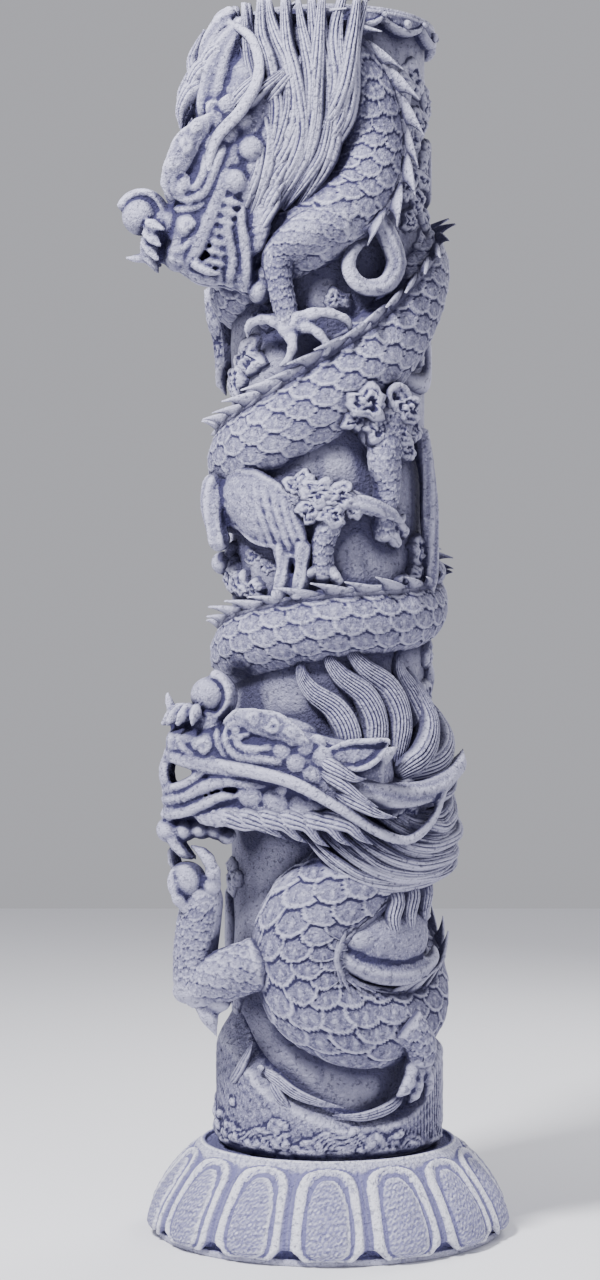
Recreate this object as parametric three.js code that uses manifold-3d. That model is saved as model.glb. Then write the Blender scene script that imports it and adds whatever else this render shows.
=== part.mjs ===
// A carved stone dragon column: a round shaft with two dragons coiled about it in high relief, on a plinth.
// Units are millimetres, +Z is up, and the origin is the centre of the plinth's underside.
import * as THREE from "three";
import { mergeVertices } from "three/addons/utils/BufferGeometryUtils.js";
import Module from "manifold-3d";

// Driving dimensions
const SHAFT_HEIGHT = 3000;
const GROUND_RADIUS = 262; // the shaft between the carvings
const COIL_RADIUS = 235; // the middle line of the dragons' coils
const RELIEF_DEPTH = 85; // half the thickness of a coil, and the unit of the carvings' sizes
const HEAD_LENGTH = 580; // a dragon's head, from nape to nose
const CREST_HEIGHT = 42; // the spines along a dragon's back
const CREST_SEAT = 0.5; // where the spines stand on a coil, as a share of its half width
const FOOT_RADIUS = 306; // the uncarved drum under the waves
const FOOT_HEIGHT = 60;
const COLLAR_RADIUS = 292; // the cloud band round the shaft's top
const COLLAR_HEIGHT = 46;

const PLINTH_HEIGHT = 232; // from the ground to the seat of the shaft
const PLINTH_RADIUS = 484; // at the tips of the petals
const PLINTH_TOP_RADIUS = 345;
const LIP_HEIGHT = 10;
const LIP_WIDTH = 12;
const SLAB_HEIGHT = 18; // the plain slab under the petals
const SLAB_INSET = 16;
const PETAL_COUNT = 14;
const PETAL_DEPTH = 20;
const SEAT_GAP = 0.3;

const FOOT_Z = PLINTH_HEIGHT + SEAT_GAP;
const TOP_Z = FOOT_Z + SHAFT_HEIGHT;
const STONE = 0x9d9dc4;
const PALE_STONE = 0xd4d4ea;

const wasm = await Module();
wasm.setup();

const up = new THREE.Vector3(0, 0, 1);
const radians = THREE.MathUtils.degToRad;

// A point of the shaft: degrees round it from the front (positive to the right), a share of its height, and
// how far it stands out from the coils' middle line, in relief depths.
function onShaft(angle, share, out) {
  const radius = COIL_RADIUS + out * RELIEF_DEPTH;
  const a = radians(angle);
  return new THREE.Vector3(radius * Math.sin(a), -radius * Math.cos(a), FOOT_Z + share * SHAFT_HEIGHT);
}

const outward = (p) => new THREE.Vector3(p.x, p.y, 0).normalize();

// A smooth value between the entries of a list, at t from 0 to 1.
function between(list, t) {
  const x = t * (list.length - 1);
  const i = Math.min(Math.floor(x), list.length - 2);
  const w = x - i;
  const ease = w * w * (3 - 2 * w);
  return list[i] + (list[i + 1] - list[i]) * ease;
}

// A limb: a sphere drawn out along a smooth line through its stations, each {at, wide, high}. High is measured
// along face(point), wide across it. A crest is teeth along one side: {from, to, side, height}, in shares of
// the length, with side 1 or -1 for left or right of the run, and every other ring pulled out to a tooth.
function limb(stations, face, sides, steps, crests = []) {
  const curve = new THREE.CatmullRomCurve3(stations.map((s) => s.at), false, "centripetal");
  const wides = stations.map((s) => s.wide);
  const highs = stations.map((s) => s.high);
  const geometry = new THREE.SphereGeometry(1, sides, steps);
  const position = geometry.getAttribute("position");
  const uv = geometry.getAttribute("uv");
  for (let i = 0; i < position.count; i++) {
    const t = 1 - uv.getY(i);
    const ring = Math.round(t * steps);
    const centre = curve.getPoint(t);
    const along = curve.getTangent(t);
    const normal = face(centre).addScaledVector(along, -face(centre).dot(along)).normalize();
    const across = new THREE.Vector3().crossVectors(along, normal);
    const a = (Math.round(uv.getX(i) * sides) / sides) * 2 * Math.PI;
    const full = ring === 0 || ring === steps ? 0 : 1;
    centre.addScaledVector(across, full * between(wides, t) * Math.cos(a));
    centre.addScaledVector(normal, full * between(highs, t) * Math.sin(a));
    for (const { from, to, side, height } of crests) {
      const onEdge = Math.abs(Math.cos(a) + side * CREST_SEAT) < 0.01 && Math.sin(a) > 0;
      if (onEdge && t > from && t < to && ring % 2 === 0) centre.addScaledVector(across, -side * height);
    }
    position.setXYZ(i, centre.x, centre.y, centre.z);
  }
  return solid(geometry);
}

// A closed geometry as a solid with its faces pointing out.
function solid(geometry) {
  geometry.deleteAttribute("normal");
  geometry.deleteAttribute("uv");
  const merged = mergeVertices(geometry, 1e-3);
  const vertProperties = new Float32Array(merged.getAttribute("position").array);
  const triVerts = new Uint32Array(merged.index.array);
  const made = new wasm.Manifold(new wasm.Mesh({ numProp: 3, vertProperties, triVerts }));
  if (made.volume() > 0) return made;
  for (let i = 0; i < triVerts.length; i += 3) [triVerts[i], triVerts[i + 1]] = [triVerts[i + 1], triVerts[i]];
  return new wasm.Manifold(new wasm.Mesh({ numProp: 3, vertProperties, triVerts }));
}

const join = (solids) => solids.reduce((sum, s) => sum.add(s));

// A limb on the shaft, from rows of [angle, share, out, wide, high], the last three in relief depths.
function carved(rows, sides, steps, crests) {
  const stations = rows.map(([angle, share, out, wide, high = wide]) => ({
    at: onShaft(angle, share, out),
    wide: wide * RELIEF_DEPTH,
    high: high * RELIEF_DEPTH,
  }));
  return limb(stations, outward, sides, steps, crests);
}

// A boss on the shaft: half sizes round, up and out, in relief depths.
function boss(angle, share, out, [round, high, deep], sides = 8, steps = 6) {
  const geometry = new THREE.SphereGeometry(RELIEF_DEPTH, sides, steps);
  geometry.scale(round, high, deep);
  const at = onShaft(angle, share, out);
  const side = new THREE.Vector3().crossVectors(up, outward(at));
  geometry.applyMatrix4(new THREE.Matrix4().makeBasis(side, up, outward(at)));
  geometry.translate(at.x, at.y, at.z);
  return solid(geometry);
}

// A dragon's head. Its own axes run forward to the nose, up through the brow, and sideways, and its sizes are
// shares of its length.
function head({ angle, share, out, pitch, yaw }) {
  const origin = onShaft(angle, share, out);
  const turn = radians(yaw);
  const dip = radians(pitch);
  const left = new THREE.Vector3(-Math.cos(turn), Math.sin(turn), 0);
  const forward = left.clone().multiplyScalar(Math.cos(dip)).addScaledVector(up, -Math.sin(dip));
  const brow = left.clone().multiplyScalar(Math.sin(dip)).addScaledVector(up, Math.cos(dip));
  const side = new THREE.Vector3().crossVectors(forward, brow);
  const place = ([f, u, s]) =>
    origin
      .clone()
      .addScaledVector(forward, f * HEAD_LENGTH)
      .addScaledVector(brow, u * HEAD_LENGTH)
      .addScaledVector(side, s * HEAD_LENGTH);
  const tube = (rows, sides = 6, steps = 6) =>
    limb(
      rows.map(([f, u, s, wide, high = wide]) => ({
        at: place([f, u, s]),
        wide: wide * HEAD_LENGTH,
        high: high * HEAD_LENGTH,
      })),
      () => brow.clone(),
      sides,
      steps,
    );
  const ball = ([f, u, s], [rf, ru, rs], sides = 8, steps = 6) => {
    const geometry = new THREE.SphereGeometry(HEAD_LENGTH, sides, steps);
    geometry.scale(rf, ru, rs);
    geometry.applyMatrix4(new THREE.Matrix4().makeBasis(forward, brow, side));
    geometry.translate(...place([f, u, s]).toArray());
    return solid(geometry);
  };
  const pieces = [
    tube(SKULL, 8, 6),
    tube(JAW, 6, 4),
    tube(TONGUE, 4, 3),
    tube(SNOUT_HOOK, 4, 3),
    tube(SNOUT_SPIKE, 4, 2),
    tube(NOSE_STALK, 4, 2),
    tube(BEARD, 4, 2),
    ball(NOSE.at, NOSE.size, 6, 4),
    ball(CHIN.at, CHIN.size, 5, 3),
  ];
  for (const hand of [1, -1]) {
    const mirrored = (rows) => rows.map(([f, u, s, ...size]) => [f, u, hand * s, ...size]);
    for (const [rows, sides, steps] of FACE_TUBES) pieces.push(tube(mirrored(rows), sides, steps));
    for (const [f, u, s, r] of FACE_BALLS) pieces.push(ball([f, u, hand * s], [r, r, r], 5, 3));
    for (const [f, u, s, lengthen, drop] of JAW_FLAMES) {
      const rows = [
        [f + FLAME_ROOT, u + FLAME_ROOT, s - FLAME_ROOT, 0.05, 0.03],
        [f - lengthen / 2, u - drop * 0.7, s + 0.03, 0.035, 0.016],
        [f - lengthen, u - drop, s + 0.045, 0.004],
      ];
      pieces.push(tube(mirrored(rows), 3, 3));
    }
  }
  return pieces;
}

// Rows of a head's parts: forward, up, sideways, half width, half height.
const SKULL = [
  [-0.12, -0.03, 0, 0.13, 0.15],
  [0.02, 0.0, 0, 0.17, 0.19],
  [0.18, 0.03, 0, 0.19, 0.2],
  [0.34, 0.06, 0, 0.19, 0.19],
  [0.48, 0.075, 0, 0.165, 0.165],
  [0.62, 0.09, 0, 0.135, 0.135],
  [0.76, 0.1, 0, 0.115, 0.1],
  [0.89, 0.115, 0, 0.105, 0.075],
  [0.96, 0.12, 0, 0.09, 0.06],
  [1.0, 0.12, 0, 0.04, 0.03],
];
const JAW = [
  [0.14, -0.07, 0, 0.12, 0.09],
  [0.3, -0.12, 0, 0.16, 0.095],
  [0.48, -0.135, 0, 0.155, 0.085],
  [0.66, -0.14, 0, 0.13, 0.075],
  [0.82, -0.145, 0, 0.11, 0.07],
  [0.94, -0.155, 0, 0.1, 0.065],
  [1.01, -0.15, 0, 0.06, 0.045],
];
const TONGUE = [
  [0.5, -0.06, 0, 0.07, 0.02],
  [0.72, -0.085, 0, 0.06, 0.02],
  [0.88, -0.075, 0, 0.055, 0.02],
  [0.98, -0.02, 0, 0.045, 0.02],
  [1.0, 0.04, 0, 0.02, 0.012],
];
const NOSE_STALK = [
  [0.8, 0.1, 0, 0.07],
  [0.815, 0.2, 0, 0.075],
  [0.825, 0.3, 0, 0.06],
];
const NOSE = { at: [0.825, 0.32, 0], size: [0.078, 0.078, 0.088] };
const SNOUT_HOOK = [
  [0.62, 0.16, 0, 0.06, 0.05],
  [0.69, 0.25, 0, 0.055, 0.04],
  [0.715, 0.34, 0, 0.05, 0.03],
  [0.77, 0.4, 0, 0.04, 0.022],
  [0.83, 0.405, 0, 0.012],
];
const SNOUT_SPIKE = [
  [0.86, 0.14, 0, 0.06, 0.05],
  [0.94, 0.23, 0, 0.035, 0.03],
  [0.99, 0.37, 0, 0.004],
];
const CHIN = { at: [0.95, -0.215, 0], size: [0.055, 0.06, 0.055] };
const BEARD = [
  [0.95, -0.18, 0, 0.05, 0.04],
  [0.93, -0.33, 0, 0.05, 0.035],
  [0.85, -0.41, 0, 0.01],
];
// Each entry is a tube on one side of the face, with its sides and steps: lip, brow and fang.
const FACE_TUBES = [
  [[[1.0, 0.08, 0.02, 0.03], [0.92, 0.035, 0.085, 0.036], [0.8, 0.005, 0.12, 0.038], [0.64, -0.01, 0.145, 0.036],
    [0.5, -0.01, 0.175, 0.034], [0.36, 0.0, 0.2, 0.032], [0.24, -0.03, 0.21, 0.028]], 4, 5],
  [[[0.73, 0.13, 0.1, 0.02], [0.66, 0.225, 0.125, 0.04], [0.54, 0.25, 0.15, 0.05], [0.42, 0.22, 0.175, 0.045],
    [0.28, 0.14, 0.215, 0.004]], 4, 3],
  [[[0.93, 0.05, 0.085, 0.024], [0.945, -0.03, 0.095, 0.02], [0.935, -0.1, 0.09, 0.008]], 3, 2],
];
// The eye and two balls of the cheek: forward, up, sideways, radius
const FACE_BALLS = [
  [0.63, 0.155, 0.118, 0.058],
  [0.33, 0.02, 0.195, 0.062],
  [0.36, -0.1, 0.15, 0.08],
];
// How far a flame's root is sunk in the jaw.
const FLAME_ROOT = 0.06;
// Flames under the jaw: forward, up, sideways, length, drop
const JAW_FLAMES = [
  [0.6, -0.16, 0.09, 0.13, 0.14],
  [0.44, -0.16, 0.11, 0.15, 0.16],
  [0.27, -0.13, 0.12, 0.17, 0.18],
];

// Rows on the shaft: degrees round, share of the height, then out, half width and half height in relief depths.
const UPPER_BODY = [
  [-42, 0.95, 0.8, 0.8, 0.8],
  [-18, 0.965, 0.55, 0.9, 0.85],
  [4, 0.955, 0.4, 0.95, 0.9],
  [20, 0.925, 0.3, 1.0, 0.95],
  [26, 0.885, 0.2, 1.05, 0.95],
  [20, 0.845, 0.2, 1.1, 1.0],
  [2, 0.815, 0.25, 1.15, 1.0],
  [-26, 0.795, 0.15, 1.15, 1.0],
  [-60, 0.775, 0.05, 1.15, 1.0],
  [-105, 0.765, 0, 1.15, 1.0],
  [-150, 0.772, 0, 1.15, 1.0],
  [-200, 0.79, 0, 1.2, 1.0],
  [-240, 0.8, 0, 1.2, 1.02],
  [-270, 0.787, 0, 1.22, 1.05],
  [-298, 0.75, 0.02, 1.25, 1.05],
  [-328, 0.703, 0.02, 1.25, 1.05],
  [-360, 0.664, 0.02, 1.25, 1.05],
  [-392, 0.635, 0.02, 1.22, 1.05],
  [-422, 0.618, 0, 1.2, 1.05],
  [-455, 0.608, 0, 1.2, 1.02],
  [-500, 0.585, 0, 1.15, 1.0],
  [-550, 0.55, 0, 1.1, 1.0],
  [-600, 0.505, 0, 1.08, 1.0],
  [-635, 0.482, 0, 1.08, 1.0],
  [-675, 0.471, 0.02, 1.08, 1.0],
  [-720, 0.464, 0.02, 1.1, 1.0],
  [-765, 0.452, 0, 1.1, 1.0],
  [-810, 0.438, 0, 1.05, 0.95],
  [-855, 0.432, 0, 0.9, 0.85],
  [-900, 0.438, 0.05, 0.72, 0.7],
  [-945, 0.445, 0.1, 0.55, 0.55],
  [-982, 0.425, 0.2, 0.4, 0.42],
  [-1000, 0.39, 0.25, 0.2, 0.25],
];
const UPPER_CRESTS = [
  { from: 0.02, to: 0.18, side: 1, height: CREST_HEIGHT },
  { from: 0.3, to: 0.93, side: -1, height: CREST_HEIGHT },
];
const LOWER_BODY = [
  [26, 0.335, 0.8, 0.9, 0.9],
  [33, 0.3, 0.6, 1.05, 1.0],
  [26, 0.262, 0.4, 1.25, 1.1],
  [7, 0.232, 0.35, 1.45, 1.15],
  [-9, 0.207, 0.35, 1.55, 1.2],
  [-14, 0.175, 0.35, 1.58, 1.2],
  [-8, 0.144, 0.3, 1.52, 1.2],
  [9, 0.124, 0.25, 1.42, 1.15],
  [33, 0.116, 0.15, 1.34, 1.1],
  [62, 0.122, 0.05, 1.25, 1.05],
  [95, 0.145, 0, 1.15, 1.0],
  [135, 0.185, 0, 1.1, 1.0],
  [178, 0.235, 0, 1.05, 1.0],
  [214, 0.285, 0, 1.0, 0.95],
  [232, 0.33, 0, 0.9, 0.85],
  [215, 0.37, 0, 0.75, 0.75],
  [182, 0.385, 0.1, 0.6, 0.6],
  [155, 0.37, 0.25, 0.42, 0.45],
  [142, 0.34, 0.3, 0.2, 0.25],
];
const LOWER_CRESTS = [{ from: 0.03, to: 0.86, side: 1, height: CREST_HEIGHT }];

// A lock of hair along [angle, share, out] points, widest near its root and drawn out to a tip.
function lock(path, width, depth = 0.32) {
  const last = path.length - 1;
  const rows = path.map((point, i) => {
    const k = i === last ? 0.08 : 1 - 0.45 * (i / last) ** 2;
    return [...point, width * k, depth * k];
  });
  return carved(rows, 4, path.length - 1);
}
const LOWER_TUFTS = [
  [[12, 0.34, 0.9], [8.4, 0.378, 0.6], [-3, 0.399, 0.4], [-12.5, 0.416, 0.3], [-12, 0.436, 0.15]],
  [[22, 0.34, 0.9], [22, 0.387, 0.55], [12, 0.41, 0.35], [2, 0.43, 0.25], [1, 0.449, 0.15]],
  [[35, 0.34, 0.9], [36, 0.392, 0.55], [25.5, 0.416, 0.35], [16, 0.436, 0.25], [12, 0.449, 0.15]],
  [[51, 0.34, 0.9], [52, 0.388, 0.5], [46, 0.414, 0.3], [42, 0.438, 0.15]],
  [[69, 0.34, 0.8], [80, 0.375, 0.4], [78, 0.4, 0.15]],
];
const LOWER_MANE = [
  [[9.4, 0.311, 1.7], [25, 0.281, 1.6], [46, 0.268, 1.5], [78, 0.275, 1.4], [105, 0.3, 1.1], [125, 0.325, 0.8]],
  [[3, 0.3, 1.7], [18, 0.266, 1.6], [40, 0.252, 1.5], [70, 0.258, 1.35], [100, 0.275, 1.1], [118, 0.3, 0.7]],
  [[-7, 0.293, 1.5], [9.5, 0.257, 1.5], [32, 0.242, 1.4], [58, 0.246, 1.25], [85, 0.258, 1], [105, 0.27, 0.7]],
  [[19, 0.315, 1.5], [35, 0.294, 1.5], [57, 0.289, 1.4], [85, 0.303, 1.2], [112, 0.33, 0.9]],
  [[23, 0.328, 1.4], [41, 0.313, 1.4], [65, 0.32, 1.3], [90, 0.334, 1.1], [115, 0.36, 0.8]],
];
const UPPER_MANE = [
  [[-31, 0.815, 1.5], [-19.6, 0.849, 1.3], [-12.6, 0.888, 1.1], [-13.5, 0.931, 0.9], [-17, 0.974, 0.8],
    [-20, 1.01, 0.6]],
  [[-37.5, 0.828, 1.6], [-26, 0.862, 1.5], [-19.6, 0.905, 1.3], [-22, 0.948, 1.1], [-31, 0.983, 0.9],
    [-33, 1.01, 0.8]],
  [[-23, 0.823, 1.1], [-10, 0.858, 1], [-2.7, 0.897, 0.9], [-2.7, 0.94, 0.8], [-6, 0.978, 0.7], [-9, 1.01, 0.6]],
  [[-43.4, 0.806, 1.8], [-33, 0.845, 1.8], [-28, 0.884, 1.6], [-28, 0.922, 1.4], [-35, 0.957, 1.2], [-41, 1.0, 0.9]],
  [[-57, 0.93, 0], [-60, 0.94, 0.7], [-62, 0.955, 1.3], [-63, 0.978, 1.3], [-58, 1.0, 1.2]],
  [[-63, 0.91, 0], [-67, 0.92, 0.9], [-70, 0.935, 1.6], [-72, 0.965, 1.7], [-67, 0.995, 1.5]],
  [[-66, 0.89, 0], [-70, 0.9, 1.0], [-73, 0.912, 1.8], [-75, 0.935, 2], [-70, 0.965, 1.8]],
];

// Each entry is a limb on the shaft, then its sides and steps.
const LIMBS = [
  // upper dragon, right fore leg: thigh, shin, foot, toes and the flame at its elbow
  [[[14, 0.812, 0.8, 0.6, 0.5], [-8, 0.802, 1.0, 0.62, 0.55], [-23, 0.783, 1.0, 0.5, 0.5],
    [-23, 0.755, 0.95, 0.36, 0.4], [-20, 0.728, 0.85, 0.34, 0.36], [-20, 0.718, 0.8, 0.3]], 5, 5],
  [[[-20, 0.722, 0.9, 0.3], [-30, 0.728, 1.0, 0.17], [-40, 0.724, 1.0, 0.15], [-43, 0.708, 0.85, 0.02]], 3, 3],
  [[[-20, 0.72, 0.9, 0.3], [-16, 0.704, 1.1, 0.17], [-19, 0.69, 1.05, 0.14], [-27, 0.686, 0.9, 0.02]], 3, 3],
  [[[-18, 0.722, 0.9, 0.3], [-6, 0.716, 1.1, 0.17], [0, 0.7, 1.0, 0.14], [-7, 0.69, 0.8, 0.02]], 3, 3],
  [[[-18, 0.724, 0.9, 0.3], [-2, 0.731, 1.1, 0.17], [9, 0.724, 1.0, 0.14], [11, 0.708, 0.8, 0.02]], 3, 3],
  [[[12, 0.812, 0.8, 0.3], [26, 0.802, 0.85, 0.24], [33, 0.777, 0.85, 0.2], [25, 0.754, 0.8, 0.18],
    [13, 0.76, 0.75, 0.15], [13, 0.777, 0.75, 0.12], [19, 0.785, 0.7, 0.03]], 4, 8],
  // upper dragon, left fore leg, behind the shaft's left edge
  [[[-100, 0.775, 0.7, 0.55], [-106, 0.75, 0.8, 0.5], [-113, 0.725, 0.85, 0.38], [-110, 0.7, 0.75, 0.32],
    [-108, 0.69, 0.7, 0.3]], 5, 4],
  [[[-111, 0.705, 0.6, 0.28], [-98, 0.688, 0.7, 0.2], [-91, 0.668, 0.4, 0.03]], 3, 3],
  // upper dragon, right hind leg
  [[[33, 0.66, 0.6, 0.6, 0.5], [30, 0.61, 0.65, 0.52], [33, 0.58, 0.5, 0.38, 0.5], [31, 0.557, 0.4, 0.32, 0.42],
    [34, 0.535, 0.35, 0.3, 0.4]], 5, 4],
  [[[30, 0.556, 0.35, 0.3], [43, 0.548, 0.5, 0.2, 0.3], [51, 0.536, 0.3, 0.02]], 3, 3],
  [[[31, 0.556, 0.35, 0.3], [38, 0.538, 0.5, 0.2, 0.3], [45, 0.528, 0.3, 0.02]], 3, 3],
  // upper dragon, left hind leg
  [[[6, 0.575, 0.4, 0.55, 0.45], [0, 0.55, 0.45, 0.4, 0.42], [-3, 0.53, 0.4, 0.32, 0.4],
    [-2, 0.498, 0.3, 0.3, 0.36]], 5, 4],
  [[[-2, 0.514, 0.3, 0.28], [-11, 0.506, 0.45, 0.18, 0.3], [-17, 0.496, 0.25, 0.02]], 3, 3],
  [[[-2, 0.514, 0.3, 0.28], [5, 0.502, 0.45, 0.18, 0.3], [9, 0.492, 0.25, 0.02]], 3, 3],
  // cloud wisps at the hind legs
  [[[-8, 0.583, 0.1, 0.3], [8, 0.575, 0.3, 0.3, 0.4], [25, 0.566, 0.3, 0.3, 0.4], [42, 0.553, 0.1, 0.1]], 4, 4],
  // lower dragon, raised arm
  [[[-26, 0.175, 0.9, 0.7, 0.6], [-44, 0.162, 1.5, 0.68], [-58, 0.15, 2.0, 0.62], [-60, 0.17, 2.1, 0.56],
    [-58, 0.198, 2.0, 0.48], [-56, 0.222, 1.9, 0.48], [-56, 0.24, 1.9, 0.4]], 6, 7],
  [[[-54, 0.225, 1.9, 0.36], [-48, 0.245, 1.95, 0.24], [-49, 0.264, 2.2, 0.2], [-54, 0.273, 2.5, 0.05]], 4, 3],
  [[[-58, 0.225, 1.9, 0.36], [-66, 0.24, 2.15, 0.24], [-67, 0.26, 2.45, 0.2], [-62, 0.272, 2.7, 0.05]], 4, 3],
  [[[-56, 0.215, 2.1, 0.3], [-56, 0.222, 2.65, 0.2], [-57, 0.24, 2.95, 0.15], [-58, 0.252, 2.9, 0.05]], 4, 3],
  [[[-58, 0.15, 2.0, 0.4], [-52, 0.125, 1.9, 0.3], [-50, 0.105, 1.7, 0.05]], 4, 3],
  // lower dragon, right leg with its hanging toes
  [[[36, 0.12, 1.1, 0.6, 0.5], [44, 0.1, 1.25, 0.5], [46, 0.078, 1.2, 0.36]], 5, 4],
  [[[44, 0.094, 1.1, 0.28], [38, 0.062, 1.1, 0.2], [33, 0.052, 0.9, 0.04]], 3, 3],
  [[[45, 0.094, 1.1, 0.28], [44, 0.057, 1.1, 0.2], [41, 0.045, 0.9, 0.04]], 3, 3],
  [[[45, 0.092, 1.1, 0.28], [53, 0.062, 1.1, 0.2], [53, 0.045, 0.9, 0.04]], 3, 3],
  // lower dragon, hind leg on the hidden side
  [[[170, 0.235, 0.8, 0.6, 0.5], [186, 0.2, 0.9, 0.45], [178, 0.165, 0.8, 0.34], [180, 0.145, 0.75, 0.3]], 5, 4],
  [[[180, 0.148, 0.75, 0.26], [170, 0.138, 0.9, 0.16], [164, 0.122, 0.75, 0.03]], 3, 3],
  [[[180, 0.148, 0.75, 0.26], [191, 0.138, 0.9, 0.16], [196, 0.122, 0.75, 0.03]], 3, 3],
  // horns, ears and whiskers
  [[[10, 0.321, 1.9, 0.5, 0.45], [25, 0.315, 1.75, 0.42], [44, 0.32, 1.65, 0.36], [67, 0.337, 1.55, 0.28],
    [88, 0.355, 1.55, 0.05]], 5, 6],
  [[[9.7, 0.341, 1.7, 0.3, 0.3], [20, 0.348, 1.7, 0.3, 0.24], [32, 0.361, 1.5, 0.03]], 4, 4],
  [[[-9.7, 0.337, 2.2, 0.18], [4.5, 0.32, 2.1, 0.17], [18, 0.29, 1.95, 0.16], [31, 0.272, 1.9, 0.15],
    [46, 0.275, 1.8, 0.14], [62, 0.298, 1.7, 0.13], [75, 0.324, 1.6, 0.12], [88, 0.347, 1.6, 0.04]], 4, 9],
  [[[-35, 0.89, 2.3, 0.16], [-27, 0.921, 1.9, 0.15], [-25, 0.948, 1.6, 0.14], [-30, 0.974, 1.4, 0.12],
    [-37, 1.0, 1.2, 0.05]], 4, 6],
  [[[-46, 0.935, 1.9, 0.4, 0.4], [-50, 0.96, 1.9, 0.42, 0.36], [-47, 0.985, 1.7, 0.34, 0.3],
    [-42, 1.01, 1.5, 0.2]], 5, 4],
  // robed figure: folds of the robe, boots, the post at its left and its hem
  [[[-46, 0.588, 0.75, 0.24], [-31, 0.567, 0.9, 0.3], [-18, 0.535, 0.6, 0.26], [-14, 0.51, 0.3, 0.1]], 3, 4],
  [[[-60, 0.57, 0.75, 0.24], [-46, 0.548, 0.9, 0.32], [-32, 0.518, 0.6, 0.3], [-27, 0.498, 0.3, 0.1]], 3, 4],
  [[[-25, 0.535, 0.5, 0.3], [-24, 0.51, 0.6, 0.24], [-25, 0.492, 0.7, 0.26, 0.3], [-28, 0.487, 0.9, 0.14]], 5, 4],
  [[[-14, 0.535, 0.5, 0.3], [-14, 0.51, 0.6, 0.24], [-15, 0.492, 0.7, 0.26, 0.3], [-18, 0.487, 0.9, 0.14]], 5, 4],
  [[[-76, 0.6, 0.7, 0.24], [-74, 0.57, 0.95, 0.28], [-71, 0.535, 0.85, 0.26], [-68, 0.505, 0.5, 0.2]], 4, 4],
  // tree trunk at the right edge
  [[[78, 0.632, 0.5, 0.3], [80, 0.6, 0.75, 0.28], [78, 0.555, 0.75, 0.3], [80, 0.51, 0.7, 0.34],
    [78, 0.485, 0.4, 0.3]], 4, 4],
];
// Bosses: angle, share, out, then half sizes round, up and out.
const BOSSES = [
  [-42, 0.56, 0.45, 1.1, 1.05, 0.62], // the figure's cape
  [-58, 0.241, 2.35, 0.68, 0.68, 0.68], // the pearl in the raised claw
  [-20, 0.724, 0.7, 0.4, 0.32, 0.4], // the fore foot's ball
  [33, 0.64, 0.4, 1.0, 1.05, 0.7], // hips
  [3, 0.567, 0.3, 0.85, 0.5, 0.5],
  [176, 0.24, 0.7, 0.9, 0.85, 0.45],
  [-78, 0.52, 0.6, 0.4, 0.38, 0.4],
  [-64, 0.143, 2.1, 0.5, 0.42, 0.45], // curls at the elbow
  [-50, 0.138, 1.7, 0.5, 0.42, 0.45],
  [-62, 0.07, 0.35, 1.3, 1.5, 0.55], // rocks heaped at the left of the foot
  [-86, 0.05, 0.3, 1.0, 1.1, 0.5],
  [76, 0.512, 0.6, 0.6, 0.45, 0.45],
];

// A scroll of cloud or wave: a band that comes in from its tail and curls round on itself. Hand is 1 or -1.
// The tail is given as [how far from the middle, how far below it, half width], in shares of the scroll's size.
const SCROLL_TAIL = [
  [3.4, -1.15, 0.2],
  [2.2, -0.85, 0.2],
];
const SCROLL_TURNS = 0.8;
const SCROLL_POINTS = 5;
function scroll(angle, share, size, hand, depth = 0.5) {
  const rows = [...SCROLL_TAIL];
  for (let k = 0; k <= SCROLL_POINTS; k++) {
    const turned = k / SCROLL_POINTS;
    const turn = -Math.PI * (0.5 + 2 * SCROLL_TURNS * turned);
    const reach = 1 - 0.6 * turned;
    rows.push([Math.cos(turn) * reach, Math.sin(turn) * reach, 0.34]);
  }
  const toDegrees = (x) => (x * size * 180) / (Math.PI * GROUND_RADIUS);
  const stations = rows.map(([x, y, wide]) => [
    angle + hand * toDegrees(x),
    share + (y * size) / SHAFT_HEIGHT,
    0.2,
    (wide * size) / RELIEF_DEPTH,
    depth,
  ]);
  return carved(stations, 4, 6);
}
// angle, share, size, hand
const SCROLLS = [
  [70, 0.705, 78, -1],
  [100, 0.88, 84, 1],
  [170, 0.9, 96, -1],
  [240, 0.89, 96, 1],
  [150, 0.68, 80, 1],
  [160, 0.51, 78, 1],
  [275, 0.36, 96, -1],
  [262, 0.2, 96, -1],
];

// Heaped rocks round the foot: bosses whose size and height change in a loop, and grow towards the highest.
const ROCK_COUNT = 7;
const HIGHEST_ROCK = -70; // degrees round the shaft
const ROCK = { share: 0.022, shareChange: 0.01, rise: 0.012, size: 0.72, sizeChange: 0.16, growth: 0.1 };
function rocks() {
  const heap = [];
  for (let k = 0; k < ROCK_COUNT; k++) {
    const angle = (360 / ROCK_COUNT) * k;
    const near = Math.max(0, Math.cos(radians(angle - HIGHEST_ROCK)));
    const size = ROCK.size + ROCK.sizeChange * Math.cos(2.4 * k) + ROCK.growth * near;
    const share = ROCK.share + ROCK.shareChange * Math.sin(1.7 * k) + ROCK.rise * near;
    heap.push(boss(angle, share, 0.5, [size, size * 0.7, 0.42], 5, 3));
  }
  return heap;
}

// A round body of revolution about Z, from its profile of [radius, height] points.
function turned(profile, sides) {
  return solid(new THREE.LatheGeometry(profile.map(([r, z]) => new THREE.Vector2(r, z)), sides).rotateX(Math.PI / 2));
}

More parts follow.
